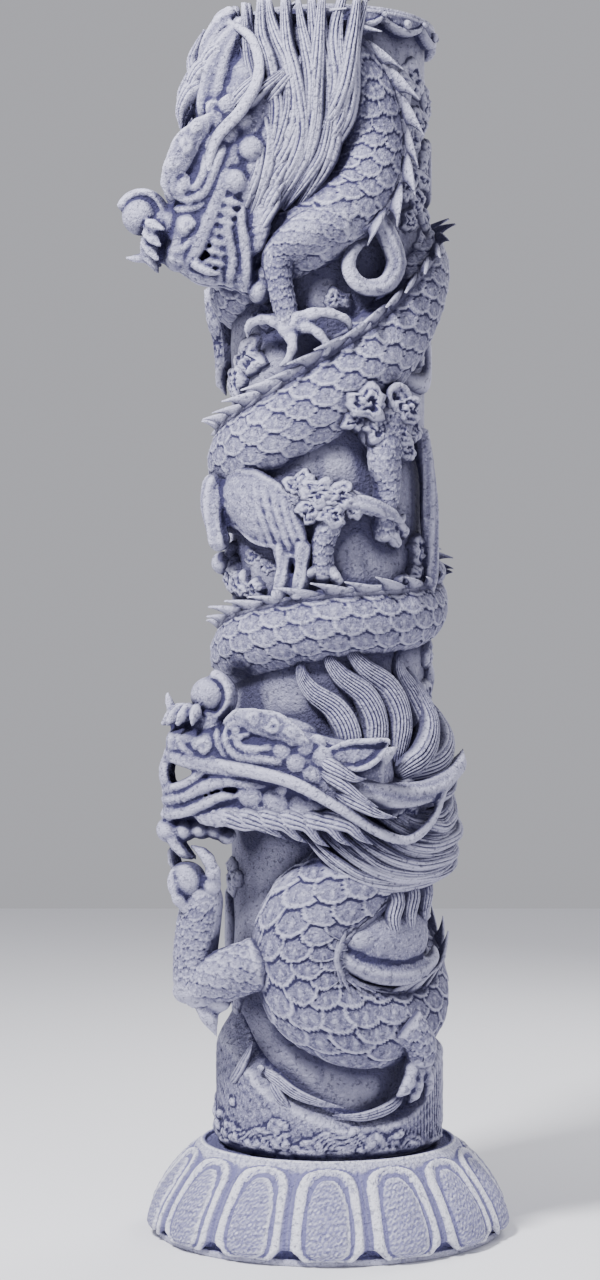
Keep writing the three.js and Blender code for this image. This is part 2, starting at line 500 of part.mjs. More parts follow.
// The cloud band round the top, with a scalloped lower edge. It runs past the shaft's top and is cut off there.
const SCALLOP_COUNT = 12;
const SCALLOP_DEPTH = 16;
const COLLAR_EDGE = 6; // how far the band's lower face slants
const CUT_OFF = 20;
function collar() {
  const bottom = TOP_Z - COLLAR_HEIGHT;
  const profile = [
    [0, bottom],
    [GROUND_RADIUS, bottom],
    [COLLAR_RADIUS, bottom + COLLAR_EDGE],
    [COLLAR_RADIUS, TOP_Z + CUT_OFF],
    [0, TOP_Z + CUT_OFF],
  ];
  const band = new THREE.LatheGeometry(profile.map(([r, z]) => new THREE.Vector2(r, z)), 2 * SCALLOP_COUNT);
  band.rotateX(Math.PI / 2);
  const position = band.getAttribute("position");
  for (let i = 0; i < position.count; i++) {
    const [x, y, z] = [position.getX(i), position.getY(i), position.getZ(i)];
    const column = Math.round((Math.atan2(y, x) / Math.PI) * SCALLOP_COUNT);
    const onEdge = z < TOP_Z && Math.hypot(x, y) > (GROUND_RADIUS + COLLAR_RADIUS) / 2;
    if (onEdge && column % 2 !== 0) position.setZ(i, z + SCALLOP_DEPTH);
  }
  return solid(band);
}

// The foot drum and the ground of the shaft, cut flat at top and bottom.
const FOOT_EDGE = 6; // the worn lower edge
const FOOT_SLOPE = 48; // the height in which the drum draws in to the shaft
function shaft() {
  const drum = FOOT_Z + FOOT_HEIGHT;
  const foot = [
    [0, FOOT_Z],
    [FOOT_RADIUS - FOOT_EDGE, FOOT_Z],
    [FOOT_RADIUS, FOOT_Z + FOOT_EDGE],
    [FOOT_RADIUS, drum],
    [(FOOT_RADIUS + GROUND_RADIUS) / 2, drum + FOOT_SLOPE / 2],
    [GROUND_RADIUS, drum + FOOT_SLOPE],
    [GROUND_RADIUS, TOP_Z],
    [0, TOP_Z],
  ];
  const carving = [
    turned(foot, 20),
    collar(),
    carved(UPPER_BODY, 6, 54, UPPER_CRESTS),
    carved(LOWER_BODY, 6, 30, LOWER_CRESTS),
    ...head(UPPER_HEAD),
    ...head(LOWER_HEAD),
    ...LOWER_TUFTS.map((path) => lock(path, 0.4, 0.34)),
    ...LOWER_MANE.map((path) => lock(path, 0.42, 0.5)),
    ...UPPER_MANE.map((path) => lock(path, 0.42, 0.5)),
    ...LIMBS.map(([rows, sides, steps]) => carved(rows, sides, steps)),
    ...BOSSES.map(([angle, share, out, ...half]) => boss(angle, share, out, half, 6, 3)),
    ...SCROLLS.map(([angle, share, size, hand]) => scroll(angle, share, size, hand)),
    ...rocks(),
  ];
  return filled(trimmed(join(carving)));
}
const LOWER_HEAD = { angle: 25.4, share: 0.338, out: 1.27, pitch: 0, yaw: 10 };
const UPPER_HEAD = { angle: -36, share: 0.951, out: 0.88, pitch: 75, yaw: 0 };

// What stands past the sawn top and the flat foot is cut away.
function trimmed(block) {
  const wide = 4 * GROUND_RADIUS;
  const slab = (bottom) => solid(new THREE.BoxGeometry(wide, wide, wide).translate(0, 0, bottom + wide / 2));
  return block.subtract(slab(TOP_Z)).subtract(slab(FOOT_Z - wide));
}

// Stone is solid all through, so a hollow closed in between two carvings is filled: only the outer shells are kept.
const filled = (block) => join(block.decompose().filter((shell) => shell.volume() > 0));

// The plinth: a turned-down lotus on a thin slab, with a raised lip round the shaft's seat.
function plinth() {
  const seat = PLINTH_TOP_RADIUS - LIP_WIDTH;
  const fall = PLINTH_HEIGHT - SLAB_HEIGHT;
  const reach = PLINTH_RADIUS - PLINTH_TOP_RADIUS;
  const petals = PETAL_FALL.map(([out, height]) => [
    PLINTH_TOP_RADIUS + out * reach,
    SLAB_HEIGHT + height * fall,
  ]);
  const profile = [
    [0, 0],
    [PLINTH_RADIUS - SLAB_INSET - PETAL_DEPTH, 0],
    [PLINTH_RADIUS - SLAB_INSET - PETAL_DEPTH, SLAB_HEIGHT],
    ...petals,
    [PLINTH_TOP_RADIUS, PLINTH_HEIGHT + LIP_HEIGHT],
    [seat, PLINTH_HEIGHT + LIP_HEIGHT],
    [seat, PLINTH_HEIGHT],
    [0, PLINTH_HEIGHT],
  ];
  const lotus = new THREE.LatheGeometry(profile.map(([r, z]) => new THREE.Vector2(r, z)), 3 * PETAL_COUNT);
  lotus.rotateX(Math.PI / 2);
  return solid(parted(lotus));
}
// The petals' outline: a share of the way out from the lip to the tips, and a share of their height.
const PETAL_FALL = [
  [0.985, 0.02],
  [1, 0.2],
  [0.88, 0.45],
  [0.62, 0.68],
  [0.28, 0.88],
  [0.04, 0.98],
];

// The grooves between the petals: every third column of the turned body is pressed in, and the columns beside it are
// drawn close to it.
function parted(lotus) {
  const position = lotus.getAttribute("position");
  const pitch = (2 * Math.PI) / PETAL_COUNT;
  const reach = PLINTH_RADIUS - PLINTH_TOP_RADIUS;
  for (let i = 0; i < position.count; i++) {
    const [x, y, z] = [position.getX(i), position.getY(i), position.getZ(i)];
    const radius = Math.hypot(x, y);
    const depth = Math.min(1, Math.max(0, (radius - PLINTH_TOP_RADIUS) / (reach * 0.28)));
    if (depth === 0 || z <= SLAB_HEIGHT) continue;
    const column = Math.round((Math.atan2(x, -y) / pitch) * 3);
    const place = ((column % 3) + 3) % 3;
    const turn = (column / 3 + (place === 1 ? -0.2 : place === 2 ? 0.2 : 0) * depth + 0.5) * pitch;
    const stand = radius - (place === 0 ? PETAL_DEPTH * depth : 0);
    const low = z < SLAB_HEIGHT + PETAL_DEPTH && place === 0 ? PETAL_DEPTH * 0.8 : 0;
    position.setXYZ(i, stand * Math.sin(turn), -stand * Math.cos(turn), z + low);
  }
  return lotus;
}

// A solid as a named mesh of its own colour.
function part(name, block, color) {
  const mesh = block.getMesh();
  const geometry = new THREE.BufferGeometry();
  geometry.setAttribute("position", new THREE.BufferAttribute(mesh.vertProperties, 3));
  geometry.setIndex(new THREE.BufferAttribute(mesh.triVerts, 1));
  const built = new THREE.Mesh(geometry, new THREE.MeshStandardMaterial({ color, roughness: 0.9, metalness: 0 }));
  built.name = name;
  return built;
}

const column = new THREE.Group();
column.add(part("lotus_plinth", plinth(), PALE_STONE));
column.add(part("dragon_shaft", shaft(), STONE));

export default column;
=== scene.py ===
# The looks of the carved stone dragon column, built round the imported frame. Units are metres, +Z is up.
import math

import bpy
import numpy as np
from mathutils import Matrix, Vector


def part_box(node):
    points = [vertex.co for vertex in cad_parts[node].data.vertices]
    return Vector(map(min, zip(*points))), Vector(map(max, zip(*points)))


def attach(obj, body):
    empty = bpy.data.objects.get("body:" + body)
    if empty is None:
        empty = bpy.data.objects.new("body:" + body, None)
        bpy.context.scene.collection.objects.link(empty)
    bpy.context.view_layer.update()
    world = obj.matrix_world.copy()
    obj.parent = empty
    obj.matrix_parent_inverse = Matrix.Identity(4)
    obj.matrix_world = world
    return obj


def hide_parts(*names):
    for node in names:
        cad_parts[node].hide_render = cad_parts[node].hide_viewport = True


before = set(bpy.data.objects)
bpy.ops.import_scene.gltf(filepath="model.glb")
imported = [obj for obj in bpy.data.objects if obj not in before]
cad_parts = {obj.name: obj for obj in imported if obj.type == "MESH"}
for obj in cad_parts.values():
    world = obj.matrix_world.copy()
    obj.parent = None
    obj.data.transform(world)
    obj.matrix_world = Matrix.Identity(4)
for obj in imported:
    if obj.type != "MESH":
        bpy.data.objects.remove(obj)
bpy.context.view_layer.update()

SHAFT_LOW, SHAFT_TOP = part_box("dragon_shaft")
PLINTH_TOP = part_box("lotus_plinth")[1]
FOOT_Z = SHAFT_LOW[2]
TOP_Z = SHAFT_TOP[2]
SHAFT_HEIGHT = TOP_Z - FOOT_Z
# The plain stone between the carvings, the line the coils run on, and one depth of relief
GROUND_RADIUS = 0.262
COIL_RADIUS = 0.235
DEPTH = 0.085
HEAD_LENGTH = 0.58
# The drum under the shaft, with the waves
FOOT_RADIUS = 0.303
# The grain of the skins that join overlapping solids
HEAD_VOXEL, LIMB_VOXEL, FIGURE_VOXEL = 0.0056, 0.0066, 0.0052
UP = np.array([0.0, 0.0, 1.0])


def on_shaft(angle, share, out):
    """The point at degrees round from the front, a share of the height, and relief depths out."""
    angle, share, out = np.radians(angle), np.asarray(share, float), np.asarray(out, float)
    radius = COIL_RADIUS + out * DEPTH
    x, y = radius * np.sin(angle), -radius * np.cos(angle)
    return np.stack([x, y, FOOT_Z + share * SHAFT_HEIGHT], axis=-1)


def unit(v):
    return v / np.maximum(np.linalg.norm(v, axis=-1, keepdims=True), 1e-9)


def outward(p):
    return unit(p * np.array([1.0, 1.0, 0.0]))


def smooth(a, b, x):
    w = np.clip((x - a) / (b - a), 0, 1)
    return w * w * (3 - 2 * w)


def between(values, t):
    """A smooth value between the entries of a list, at t from 0 to 1."""
    values = np.asarray(values, float)
    x = np.clip(t, 0, 1) * (len(values) - 1)
    i = np.minimum(x.astype(int), len(values) - 2)
    w = x - i
    return values[i] + (values[i + 1] - values[i]) * w * w * (3 - 2 * w)


def spline(points, t):
    """A centripetal Catmull-Rom curve through points, at t from 0 to 1."""
    p = np.asarray(points, float)
    p = np.vstack([2 * p[0] - p[1], p, 2 * p[-1] - p[-2]])
    x = np.clip(t, 0, 1) * (len(p) - 3)
    i = np.minimum(x.astype(int), len(p) - 4)
    w = (x - i)[:, None]
    p0, p1, p2, p3 = p[i], p[i + 1], p[i + 2], p[i + 3]

    def gap(a, b):
        return np.maximum(np.linalg.norm(b - a, axis=1, keepdims=True) ** 0.5, 1e-4)

    d0, d1, d2 = gap(p0, p1), gap(p1, p2), gap(p2, p3)
    m1 = ((p1 - p0) / d0 - (p2 - p0) / (d0 + d1) + (p2 - p1) / d1) * d1
    m2 = ((p2 - p1) / d1 - (p3 - p1) / (d1 + d2) + (p3 - p2) / d2) * d1
    return p1 + m1 * w + (3 * (p2 - p1) - 2 * m1 - m2) * w**2 + (2 * (p1 - p2) + m1 + m2) * w**3


def run_of(points, t, face):
    """Centre, direction, outward normal and across vector of a curve at each t."""
    centre = spline(points, t)
    along = unit(spline(points, np.minimum(t + 0.002, 1)) - spline(points, np.maximum(t - 0.002, 0)))
    normal = face(centre)
    normal = unit(normal - along * np.sum(normal * along, axis=1, keepdims=True))
    return centre, along, normal, np.cross(along, normal)


class Carving:
    """Vertices and faces gathered for one piece."""

    def __init__(self):
        self.verts = []
        self.faces = []
        self.count = 0

    def add(self, verts, faces):
        self.verts.append(np.asarray(verts, float).reshape(-1, 3))
        self.faces.append(np.asarray(faces, int) + self.count)
        self.count += len(self.verts[-1])

    def grid(self, points, loop=False):
        """A sheet of points (rows, columns, 3); with loop, the last column joins the first."""
        rows, columns = points.shape[:2]
        index = np.arange(rows * columns).reshape(rows, columns)
        if loop:
            index = np.hstack([index, index[:, :1]])
        a, b, c, d = index[:-1, :-1], index[:-1, 1:], index[1:, 1:], index[1:, :-1]
        self.add(points, np.stack([a, b, c, d], axis=-1).reshape(-1, 4))

    def capped(self, points):
        """A looped sheet whose first and last rows close on their own middles, turned to face out."""
        mid = len(points) // 2
        ring = points[mid] - points[mid].mean(axis=0)
        turn = np.cross(ring, np.roll(ring, -1, axis=0)).sum(axis=0)
        ahead = points[min(mid + 1, len(points) - 1)].mean(axis=0) - points[mid - 1].mean(axis=0)
        if np.dot(turn, ahead) < 0:
            points = points[:, ::-1]
        rows, columns = points.shape[:2]
        start = self.count
        self.grid(points, loop=True)
        index = np.arange(columns)
        for row, way in ((0, 1), (rows - 1, -1)):
            base = start + row * columns
            pairs = np.stack([base + index, base + np.roll(index, -1)], axis=1)[:, ::-way]
            middle = np.full((columns, 1), self.count)
            self.verts.append(points[row].mean(axis=0)[None])
            self.faces.append(np.hstack([pairs, middle, middle]))
            self.count += 1

    def ball(self, at, axes, sizes, sides=20, steps=12):
        """An ellipsoid about at, with half sizes along three axes."""
        a = np.linspace(0, 2 * np.pi, sides, endpoint=False)
        b = np.linspace(0, np.pi, steps + 1)[1:-1]
        x, y = np.outer(np.sin(b), np.cos(a)), np.outer(np.sin(b), np.sin(a))
        unit_points = np.stack([x, y, np.outer(np.cos(b), np.ones(sides))], axis=-1)
        self.capped(at + (unit_points * np.asarray(sizes)) @ np.asarray(axes))

    def tube(self, stations, wide, high, face, sides=14, rings=24, bump=None):
        """A limb with pointed ends through the stations; bump(t, a) adds to its radius."""
        t = np.linspace(0, 1, rings + 1)
        centre, along, normal, across = run_of(stations, t, face)
        a = np.linspace(0, 2 * np.pi, sides, endpoint=False)
        ends = np.sqrt(np.clip(np.minimum(t, 1 - t) * rings / 2.0, 0.02, 1))
        grow = 1 if bump is None else 1 + bump(t[:, None], a[None, :])
        reach = (ends[:, None] * grow)[..., None]
        ring = (
            across[:, None] * (np.cos(a)[None, :, None] * between(wide, t)[:, None, None])
            + normal[:, None] * (np.sin(a)[None, :, None] * between(high, t)[:, None, None])
        )
        self.capped(centre[:, None] + ring * reach)


def mesh_of(name, carving):
    verts = np.vstack(carving.verts).astype(np.float32)
    faces = np.vstack(carving.faces)
    triangle = faces[:, 2] == faces[:, 3]
    loops = np.concatenate([faces[~triangle].ravel(), faces[triangle][:, :3].ravel()])
    starts = np.concatenate(
        [np.arange((~triangle).sum()) * 4, (~triangle).sum() * 4 + np.arange(triangle.sum()) * 3]
    )
    mesh = bpy.data.meshes.new(name)
    mesh.vertices.add(len(verts))
    mesh.vertices.foreach_set("co", verts.ravel())
    mesh.loops.add(len(loops))
    mesh.loops.foreach_set("vertex_index", loops.astype(np.int32))
    mesh.polygons.add(len(starts))
    mesh.polygons.foreach_set("loop_start", starts.astype(np.int32))
    mesh.update(calc_edges=True)
    mesh.validate()
    return mesh


def points_of(mesh):
    co = np.empty(len(mesh.vertices) * 3, np.float32)
    mesh.vertices.foreach_get("co", co)
    return co.reshape(-1, 3).astype(float)


def normals_of(mesh):
    n = np.empty(len(mesh.vertices) * 3, np.float32)
    mesh.vertex_normals.foreach_get("vector", n)
    return n.reshape(-1, 3).astype(float)


def set_points(mesh, points):
    mesh.vertices.foreach_set("co", points.astype(np.float32).ravel())
    mesh.update()


def neighbours(mesh):
    edges = np.empty(len(mesh.edges) * 2, np.int32)
    mesh.edges.foreach_get("vertices", edges)
    edges = edges.reshape(-1, 2)
    degree = np.bincount(edges.ravel(), minlength=len(mesh.vertices)).astype(float)
    return edges[:, 0], edges[:, 1], np.maximum(degree, 1)[:, None]


def averaged(values, links):
    """Each vertex's mean over its neighbours."""
    a, b, degree = links
    total = np.empty_like(values)
    for k in range(values.shape[1]):
        total[:, k] = np.bincount(a, values[b, k], len(values)) + np.bincount(b, values[a, k], len(values))
    return total / degree


def relax(mesh):
    """Moves each vertex half way to the mean of its neighbours."""
    points = points_of(mesh)
    set_points(mesh, points + 0.5 * (averaged(points, neighbours(mesh)) - points))


def remeshed(name, carving, voxel):
    """The carving's overlapping solids as one smooth skin."""
    holder = bpy.data.objects.new(name, mesh_of(name, carving))
    bpy.context.scene.collection.objects.link(holder)
    remesh = holder.modifiers.new("skin", "REMESH")
    remesh.mode = "VOXEL"
    remesh.voxel_size = voxel
    skin = bpy.data.meshes.new_from_object(holder.evaluated_get(bpy.context.evaluated_depsgraph_get()))
    bpy.data.objects.remove(holder)
    relax(skin)
    return skin


def hollows(mesh):
    """Writes each vertex's height over its surroundings, from -1 in a crease to 1 on an edge."""
    links = neighbours(mesh)
    points = points_of(mesh)
    normals = normals_of(mesh)
    total = np.zeros(len(points))
    soft = points
    for rounds, scale in ((2, 0.0012), (10, 0.0045)):
        for _ in range(rounds):
            soft = averaged(soft, links)
        total += np.clip(np.sum((points - soft) * normals, axis=1) / scale, -1, 1) * 0.5
    # The stone paints shade in the creases from this, and pale edges that are partly wear and partly painted
    # highlight
    layer = mesh.attributes.new("relief", "FLOAT", "POINT")
    layer.data.foreach_set("value", total.astype(np.float32))


pieces = []


def place(name, mesh, node, slot, material):
    """The mesh as a piece that stands for a CAD node."""
    mesh.name = name
    mesh.polygons.foreach_set("use_smooth", [True] * len(mesh.polygons))
    hollows(mesh)
    piece = bpy.data.objects.new(name, mesh)
    bpy.context.scene.collection.objects.link(piece)
    mesh.materials.append(material)
    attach(piece, "root")
    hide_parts(node)
    pieces.append(piece)
    return piece


# Rows on the shaft: degrees, share of the height, then out, half width and half height in depths
UPPER_BODY = [
    [-42, 0.95, 0.8, 0.8, 0.8],
    [-18, 0.965, 0.55, 0.9, 0.85],
    [4, 0.955, 0.4, 0.95, 0.9],
    [20, 0.925, 0.3, 1.0, 0.95],
    [26, 0.885, 0.2, 1.05, 0.95],
    [20, 0.845, 0.2, 1.1, 1.0],
    [2, 0.815, 0.25, 1.15, 1.0],
    [-26, 0.795, 0.15, 1.15, 1.0],
    [-60, 0.775, 0.05, 1.15, 1.0],
    [-105, 0.765, 0, 1.15, 1.0],
    [-150, 0.772, 0, 1.15, 1.0],
    [-200, 0.79, 0, 1.2, 1.0],
    [-240, 0.8, 0, 1.2, 1.02],
    [-270, 0.787, 0, 1.22, 1.05],
    [-298, 0.75, 0.02, 1.25, 1.05],
    [-328, 0.703, 0.02, 1.25, 1.05],
    [-360, 0.664, 0.02, 1.25, 1.05],
    [-392, 0.635, 0.02, 1.22, 1.05],
    [-422, 0.618, 0, 1.2, 1.05],
    [-455, 0.608, 0, 1.2, 1.02],
    [-500, 0.585, 0, 1.15, 1.0],
    [-550, 0.55, 0, 1.1, 1.0],
    [-600, 0.505, 0, 1.08, 1.0],
    [-635, 0.482, 0, 1.08, 1.0],
    [-675, 0.471, 0.02, 1.08, 1.0],
    [-720, 0.464, 0.02, 1.1, 1.0],
    [-765, 0.452, 0, 1.1, 1.0],
    [-810, 0.438, 0, 1.05, 0.95],
    [-855, 0.432, 0, 0.9, 0.85],
    [-900, 0.438, 0.05, 0.72, 0.7],
    [-945, 0.445, 0.1, 0.55, 0.55],
    [-982, 0.425, 0.2, 0.4, 0.42],
    [-1000, 0.39, 0.25, 0.2, 0.25],
]
LOWER_BODY = [
    [26, 0.335, 0.8, 0.9, 0.9],
    [33, 0.3, 0.6, 1.05, 1.0],
    [26, 0.262, 0.4, 1.25, 1.1],
    [7, 0.232, 0.35, 1.45, 1.15],
    [-9, 0.207, 0.35, 1.55, 1.2],
    [-14, 0.175, 0.35, 1.58, 1.2],
    [-8, 0.144, 0.3, 1.52, 1.2],
    [9, 0.124, 0.25, 1.42, 1.15],
    [33, 0.116, 0.15, 1.34, 1.1],
    [62, 0.122, 0.05, 1.25, 1.05],
    [95, 0.145, 0, 1.15, 1.0],
    [135, 0.185, 0, 1.1, 1.0],
    [178, 0.235, 0, 1.05, 1.0],
    [214, 0.285, 0, 1.0, 0.95],
    [232, 0.33, 0, 0.9, 0.85],
    [215, 0.37, 0, 0.75, 0.75],
    [182, 0.385, 0.1, 0.6, 0.6],
    [155, 0.37, 0.25, 0.42, 0.45],
    [142, 0.34, 0.3, 0.2, 0.25],
]


def scaled_height(along_mm, across_mm, down_s, down_c, pitch, rows, radius, switch):
    """The relief, in millimetres, of overlapping round scales on a body unrolled flat."""
    height = np.zeros(along_mm.shape)
    best = np.full(along_mm.shape, -1e9)
    run_end = along_mm[-1, 0]
    half = np.abs(across_mm).max() + radius
    runs = along_mm[:, 0]
    centres = []
    for k in range(int(run_end / rows) + 2):
        for j in range(-int(half / pitch) - 1, int(half / pitch) + 2):
            centres.append((k * rows, (j + 0.5 * (k % 2)) * pitch, 0))
    for j in range(-int(half / rows) - 1, int(half / rows) + 2):
        for k in range(int(run_end / pitch) + 2):
            centres.append(((k + 0.5 * (j % 2)) * pitch, j * rows, 1))
    for s, c, kind in centres:
        low, high = np.searchsorted(runs, [s - radius, s + radius])
        if high <= low:
            continue
        middle = min((low + high) // 2, len(runs) - 1)
        if switch(middle) != kind:
            continue
        ds, dc = along_mm[low:high] - s, across_mm[low:high] - c
        distance = np.hypot(ds, dc) / radius
        lean = ds * down_s[low:high, None] + dc * down_c[low:high, None]
        window = best[low:high]
        wins = (distance < 1) & (lean > window)
        rim = smooth(0.78, 0.86, distance) * (1 - smooth(0.93, 1.0, distance))
        dish = 1.7 * np.clip(lean / radius, -0.4, 1)
        sideways = ds * down_c[low:high, None] - dc * down_s[low:high, None]
        bud = np.exp(-(((lean / radius - 0.28) / 0.14) ** 2) - (sideways / (0.13 * radius)) ** 2)
        edge = 1 - 0.9 * smooth(0.97, 1.0, distance)
        rays = 0.45 * np.cos(11 * np.arctan2(sideways, lean + 0.5 * radius))
        value = 2.6 + 1.35 * dish + 1.5 * rim + bud + rays * (1 - rim) * smooth(0.0, 0.4, lean / radius)
        height[low:high] = np.where(wins, value * edge, height[low:high])
        window[wins] = lean[wins]
    return height


def dragon_body(rows, fine, coarse, pitch, row_gap, radius, upright, columns=91, blunt=0.01, into=None):
    """A limb or body with its scales; upright(t) says which way the rows of scales run there."""
    points, wide, high = rows_on_shaft(rows)
    dense = np.linspace(0, 1, 4000)
    line = spline(points, dense)
    run = np.concatenate([[0], np.cumsum(np.linalg.norm(np.diff(line, axis=0), axis=1))])
    half = columns // 2
    facing = -line[:, 1] / np.linalg.norm(line[:, :2], axis=1)
    step = fine + (coarse - fine) * smooth(0.25, -0.35, facing)
    ticks = np.concatenate([[0], np.cumsum(np.diff(run) / step[1:])])
    t = np.interp(np.arange(0, ticks[-1], 1.0), ticks, dense)
    t[-1] = 1
    centre, along, normal, across = run_of(points, t, outward)
    w, h = between(wide, t), between(high, t)
    top = np.radians(np.linspace(-105, 105, columns))
    under = np.radians([125, 155, 180, 205, 235])
    turn = np.concatenate([top, under])
    arc = np.cumsum(np.hypot(np.cos(top[1:]), 0.85 * np.sin(top[1:])) * np.diff(top))
    width = np.interp(turn, top, np.concatenate([[0], arc]))
    width = width - width[half]
    s_mm = np.interp(t, dense, run)[:, None] * 1000 + 0 * turn[None]
    c_mm = width[None] * w[:, None] * 1000
    down_s = -along[:, 2]
    down_c = -across[:, 2]
    size = np.hypot(down_s, down_c) + 1e-6
    flat = (s_mm[:, :columns], c_mm[:, :columns], down_s / size, down_c / size)
    outer = scaled_height(*flat, pitch, row_gap, radius, lambda k: upright(t[k]))
    lift = np.zeros(s_mm.shape)
    lift[:, :columns] = outer * (radius / 40) / 1000
    fade = smooth(1.0, 0.93, t) * smooth(0.0, 0.02, t)
    taper = np.clip(np.sqrt(np.minimum(t, 1 - t) / blunt), 0.02, 1)
    side, up, w, h = across[:, None], normal[:, None], w[:, None], h[:, None]
    sine, cosine = np.sin(turn)[None], np.cos(turn)[None]
    ring = side * (sine * w)[..., None] + up * (cosine * h)[..., None]
    skin = unit(side * (sine / w)[..., None] + up * (cosine / h)[..., None])
    carving = into or Carving()
    carving.capped(centre[:, None] + ring * taper[:, None, None] + skin * (lift * fade[:, None])[..., None])
    return carving, (points, wide, high)


# How deep a spine's foot is sunk in its crest
THORN_ROOT = 0.016


def thorn(carving, base, along, rise, side, length, height, thick):
    """A hooked blade on a crest: its foot runs along the crest and its tip leans forward."""
    t = np.linspace(0, 1, 10)
    spine = base + rise * (height * t**0.9)[:, None] + along * (length * (t**1.7 - 0.15))[:, None]
    foot = np.clip(1 - t, 0.02, 1) ** 0.8
    a = np.linspace(0, 2 * np.pi, 11)[:-1]
    along_part = (along * np.cos(a)[:, None])[None] * (length * 0.6 * foot)[:, None, None]
    side_part = (side * np.sin(a)[:, None])[None] * (thick * (0.35 + 0.65 * foot))[:, None, None]
    carving.capped(spine[:, None] + along_part + side_part)


def crest(carving, body, start, stop, side, tip, gap=0.062, height=0.034):
    """The flange and its leaf spines along one side of a body; tip is 1 or -1 along the run."""
    points, wide, high = body
    dense = np.linspace(start, stop, 1200)
    line = spline(points, dense)
    run = np.concatenate([[0], np.cumsum(np.linalg.norm(np.diff(line, axis=0), axis=1))])
    t = np.interp(np.linspace(0, run[-1], int(run[-1] / 0.009)), run, dense)
    centre, along, normal, across = run_of(points, t, outward)
    across = -side * across
    w, h = between(wide, t)[:, None], between(high, t)[:, None]
    edge = centre + across * w * 0.76 + normal * h * 0.66
    out = unit(across * 0.55 + normal)
    corners = [(-0.03, -0.012), (0.006, -0.012), (0.012, -0.004), (0.01, 0.004), (-0.004, 0.01),
               (-0.03, 0.014)]
    cross = unit(np.cross(along, out))
    ring = np.stack([out * up_out + cross * over for up_out, over in corners], axis=1)
    carving.capped(edge[:, None] + ring)
    spots = np.interp(np.arange(gap / 2, run[-1], gap), run, dense)
    centre, along, normal, across = run_of(points, spots, outward)
    across = -side * across
    w, h = between(wide, spots), between(high, spots)
    for k in range(len(spots)):
        out = unit((across[k] * 0.9 + normal[k] * 0.8)[None])[0]
        base = centre[k] + across[k] * w[k] * 0.8 + normal[k] * h[k] * 0.7 + out * 0.012
        wobble = 0.85 + 0.3 * math.sin(2.1 * k) ** 2
        thorn(carving, base - out * THORN_ROOT, tip * along[k], out, np.cross(along[k], out), gap * 1.25,
              (height + THORN_ROOT) * wobble, 0.009)


def widened(rows):
    """Rows of five numbers; a row without its half height is as high as it is wide."""
    return np.array([row if len(row) == 5 else list(row) + [row[3]] for row in rows], float)


def rows_on_shaft(rows):
    """Stations, half widths and half heights in metres from rows on the shaft."""
    full = widened(rows)
    return on_shaft(*full[:, :3].T), full[:, 3] * DEPTH, full[:, 4] * DEPTH


def strands(carving, path, width, depth, count=7, rows=80, wave=0.0, root=0.15, blunt=2.2):
    """A lock along [angle, share, out] points: a leaf of parallel strands that runs to a tip."""
    points = on_shaft(*np.array(path, float).T)
    t = np.linspace(0, 1, rows)
    centre, along, normal, across = run_of(points, t, outward)
    swell = np.minimum(1, root + 3.0 * t) * np.clip(1 - ((t - 0.3) / 0.72).clip(0) ** blunt, 0.03, 1)
    half_wide, half_high = width * DEPTH * swell, depth * DEPTH * np.clip(swell, 0.12, 1)
    v = np.linspace(-1, 1, 4 * count + 1)
    twist = v[None] + wave * np.sin(9 * t + 3 * path[0][0])[:, None] * (1 - v[None] ** 2)
    strand = np.abs(np.sin(np.pi * (twist + 1) / 2 * count)) ** 0.6
    crown = np.sqrt(np.clip(1 - v**2, 0, 1))[None]
    groove = np.minimum(half_high[:, None] * 0.34, 0.007) * crown**0.5 * strand
    height = half_high[:, None] * 0.66 * crown + groove
    middle, side, up = centre[:, None], across[:, None], normal[:, None]
    sheet = middle + side * (v[None] * half_wide[:, None])[..., None] + up * height[..., None]
    under = np.array([0.8, 0.0, -0.8])[None] * half_wide[:, None]
    back = middle + side * under[..., None] - up * (half_high * 0.9)[:, None, None]
    carving.capped(np.concatenate([sheet, back], axis=1))


# The locks of one hair: shift to the side, rise, share of the length, of the width and of the depth, strands
LOCKS = [
    (-0.62, 0.0, 1.0, 0.55, 0.9, 4),
    (0.62, 0.0, 0.95, 0.55, 0.9, 4),
    (0.0, 0.14, 1.0, 0.5, 0.9, 4),
    (-0.3, 0.24, 0.8, 0.32, 0.5, 3),
    (0.34, 0.2, 0.66, 0.3, 0.5, 3),
]


def hair(carving, path, width, depth, seed):
    """Locks twined about one path, each with its own length and height."""
    noise = np.random.default_rng(seed)
    base = np.array(path, float)
    dense = np.linspace(0, 1, 9)
    knots = np.linspace(0, 1, len(base))
    for k, (shift, rise, reach, wide, deep, count) in enumerate(LOCKS):
        rows = np.stack([np.interp(dense, knots, base[:, i]) for i in range(3)], axis=1)
        points = on_shaft(*rows.T)
        centre, along, normal, across = run_of(points, dense, outward)
        swing = shift * width * (1 - 0.5 * dense) + 0.22 * width * np.sin(5.5 * dense + 2 * k + seed)
        radius = np.linalg.norm(points[:, :2], axis=1)
        turn = np.stack([np.cos(np.radians(rows[:, 0])), np.sin(np.radians(rows[:, 0])), 0 * dense], axis=1)
        rows[:, 0] += np.degrees(np.sum(across * turn, axis=1) * swing * DEPTH / radius)
        rows[:, 1] += across[:, 2] * swing * DEPTH / SHAFT_HEIGHT
        rows[:, 2] += rise + 0.05 * noise.random()
        cut = np.stack([np.interp(dense * reach, dense, rows[:, i]) for i in range(3)], axis=1)
        strands(carving, cut, width * wide, depth * deep, count, 48, 0.12)


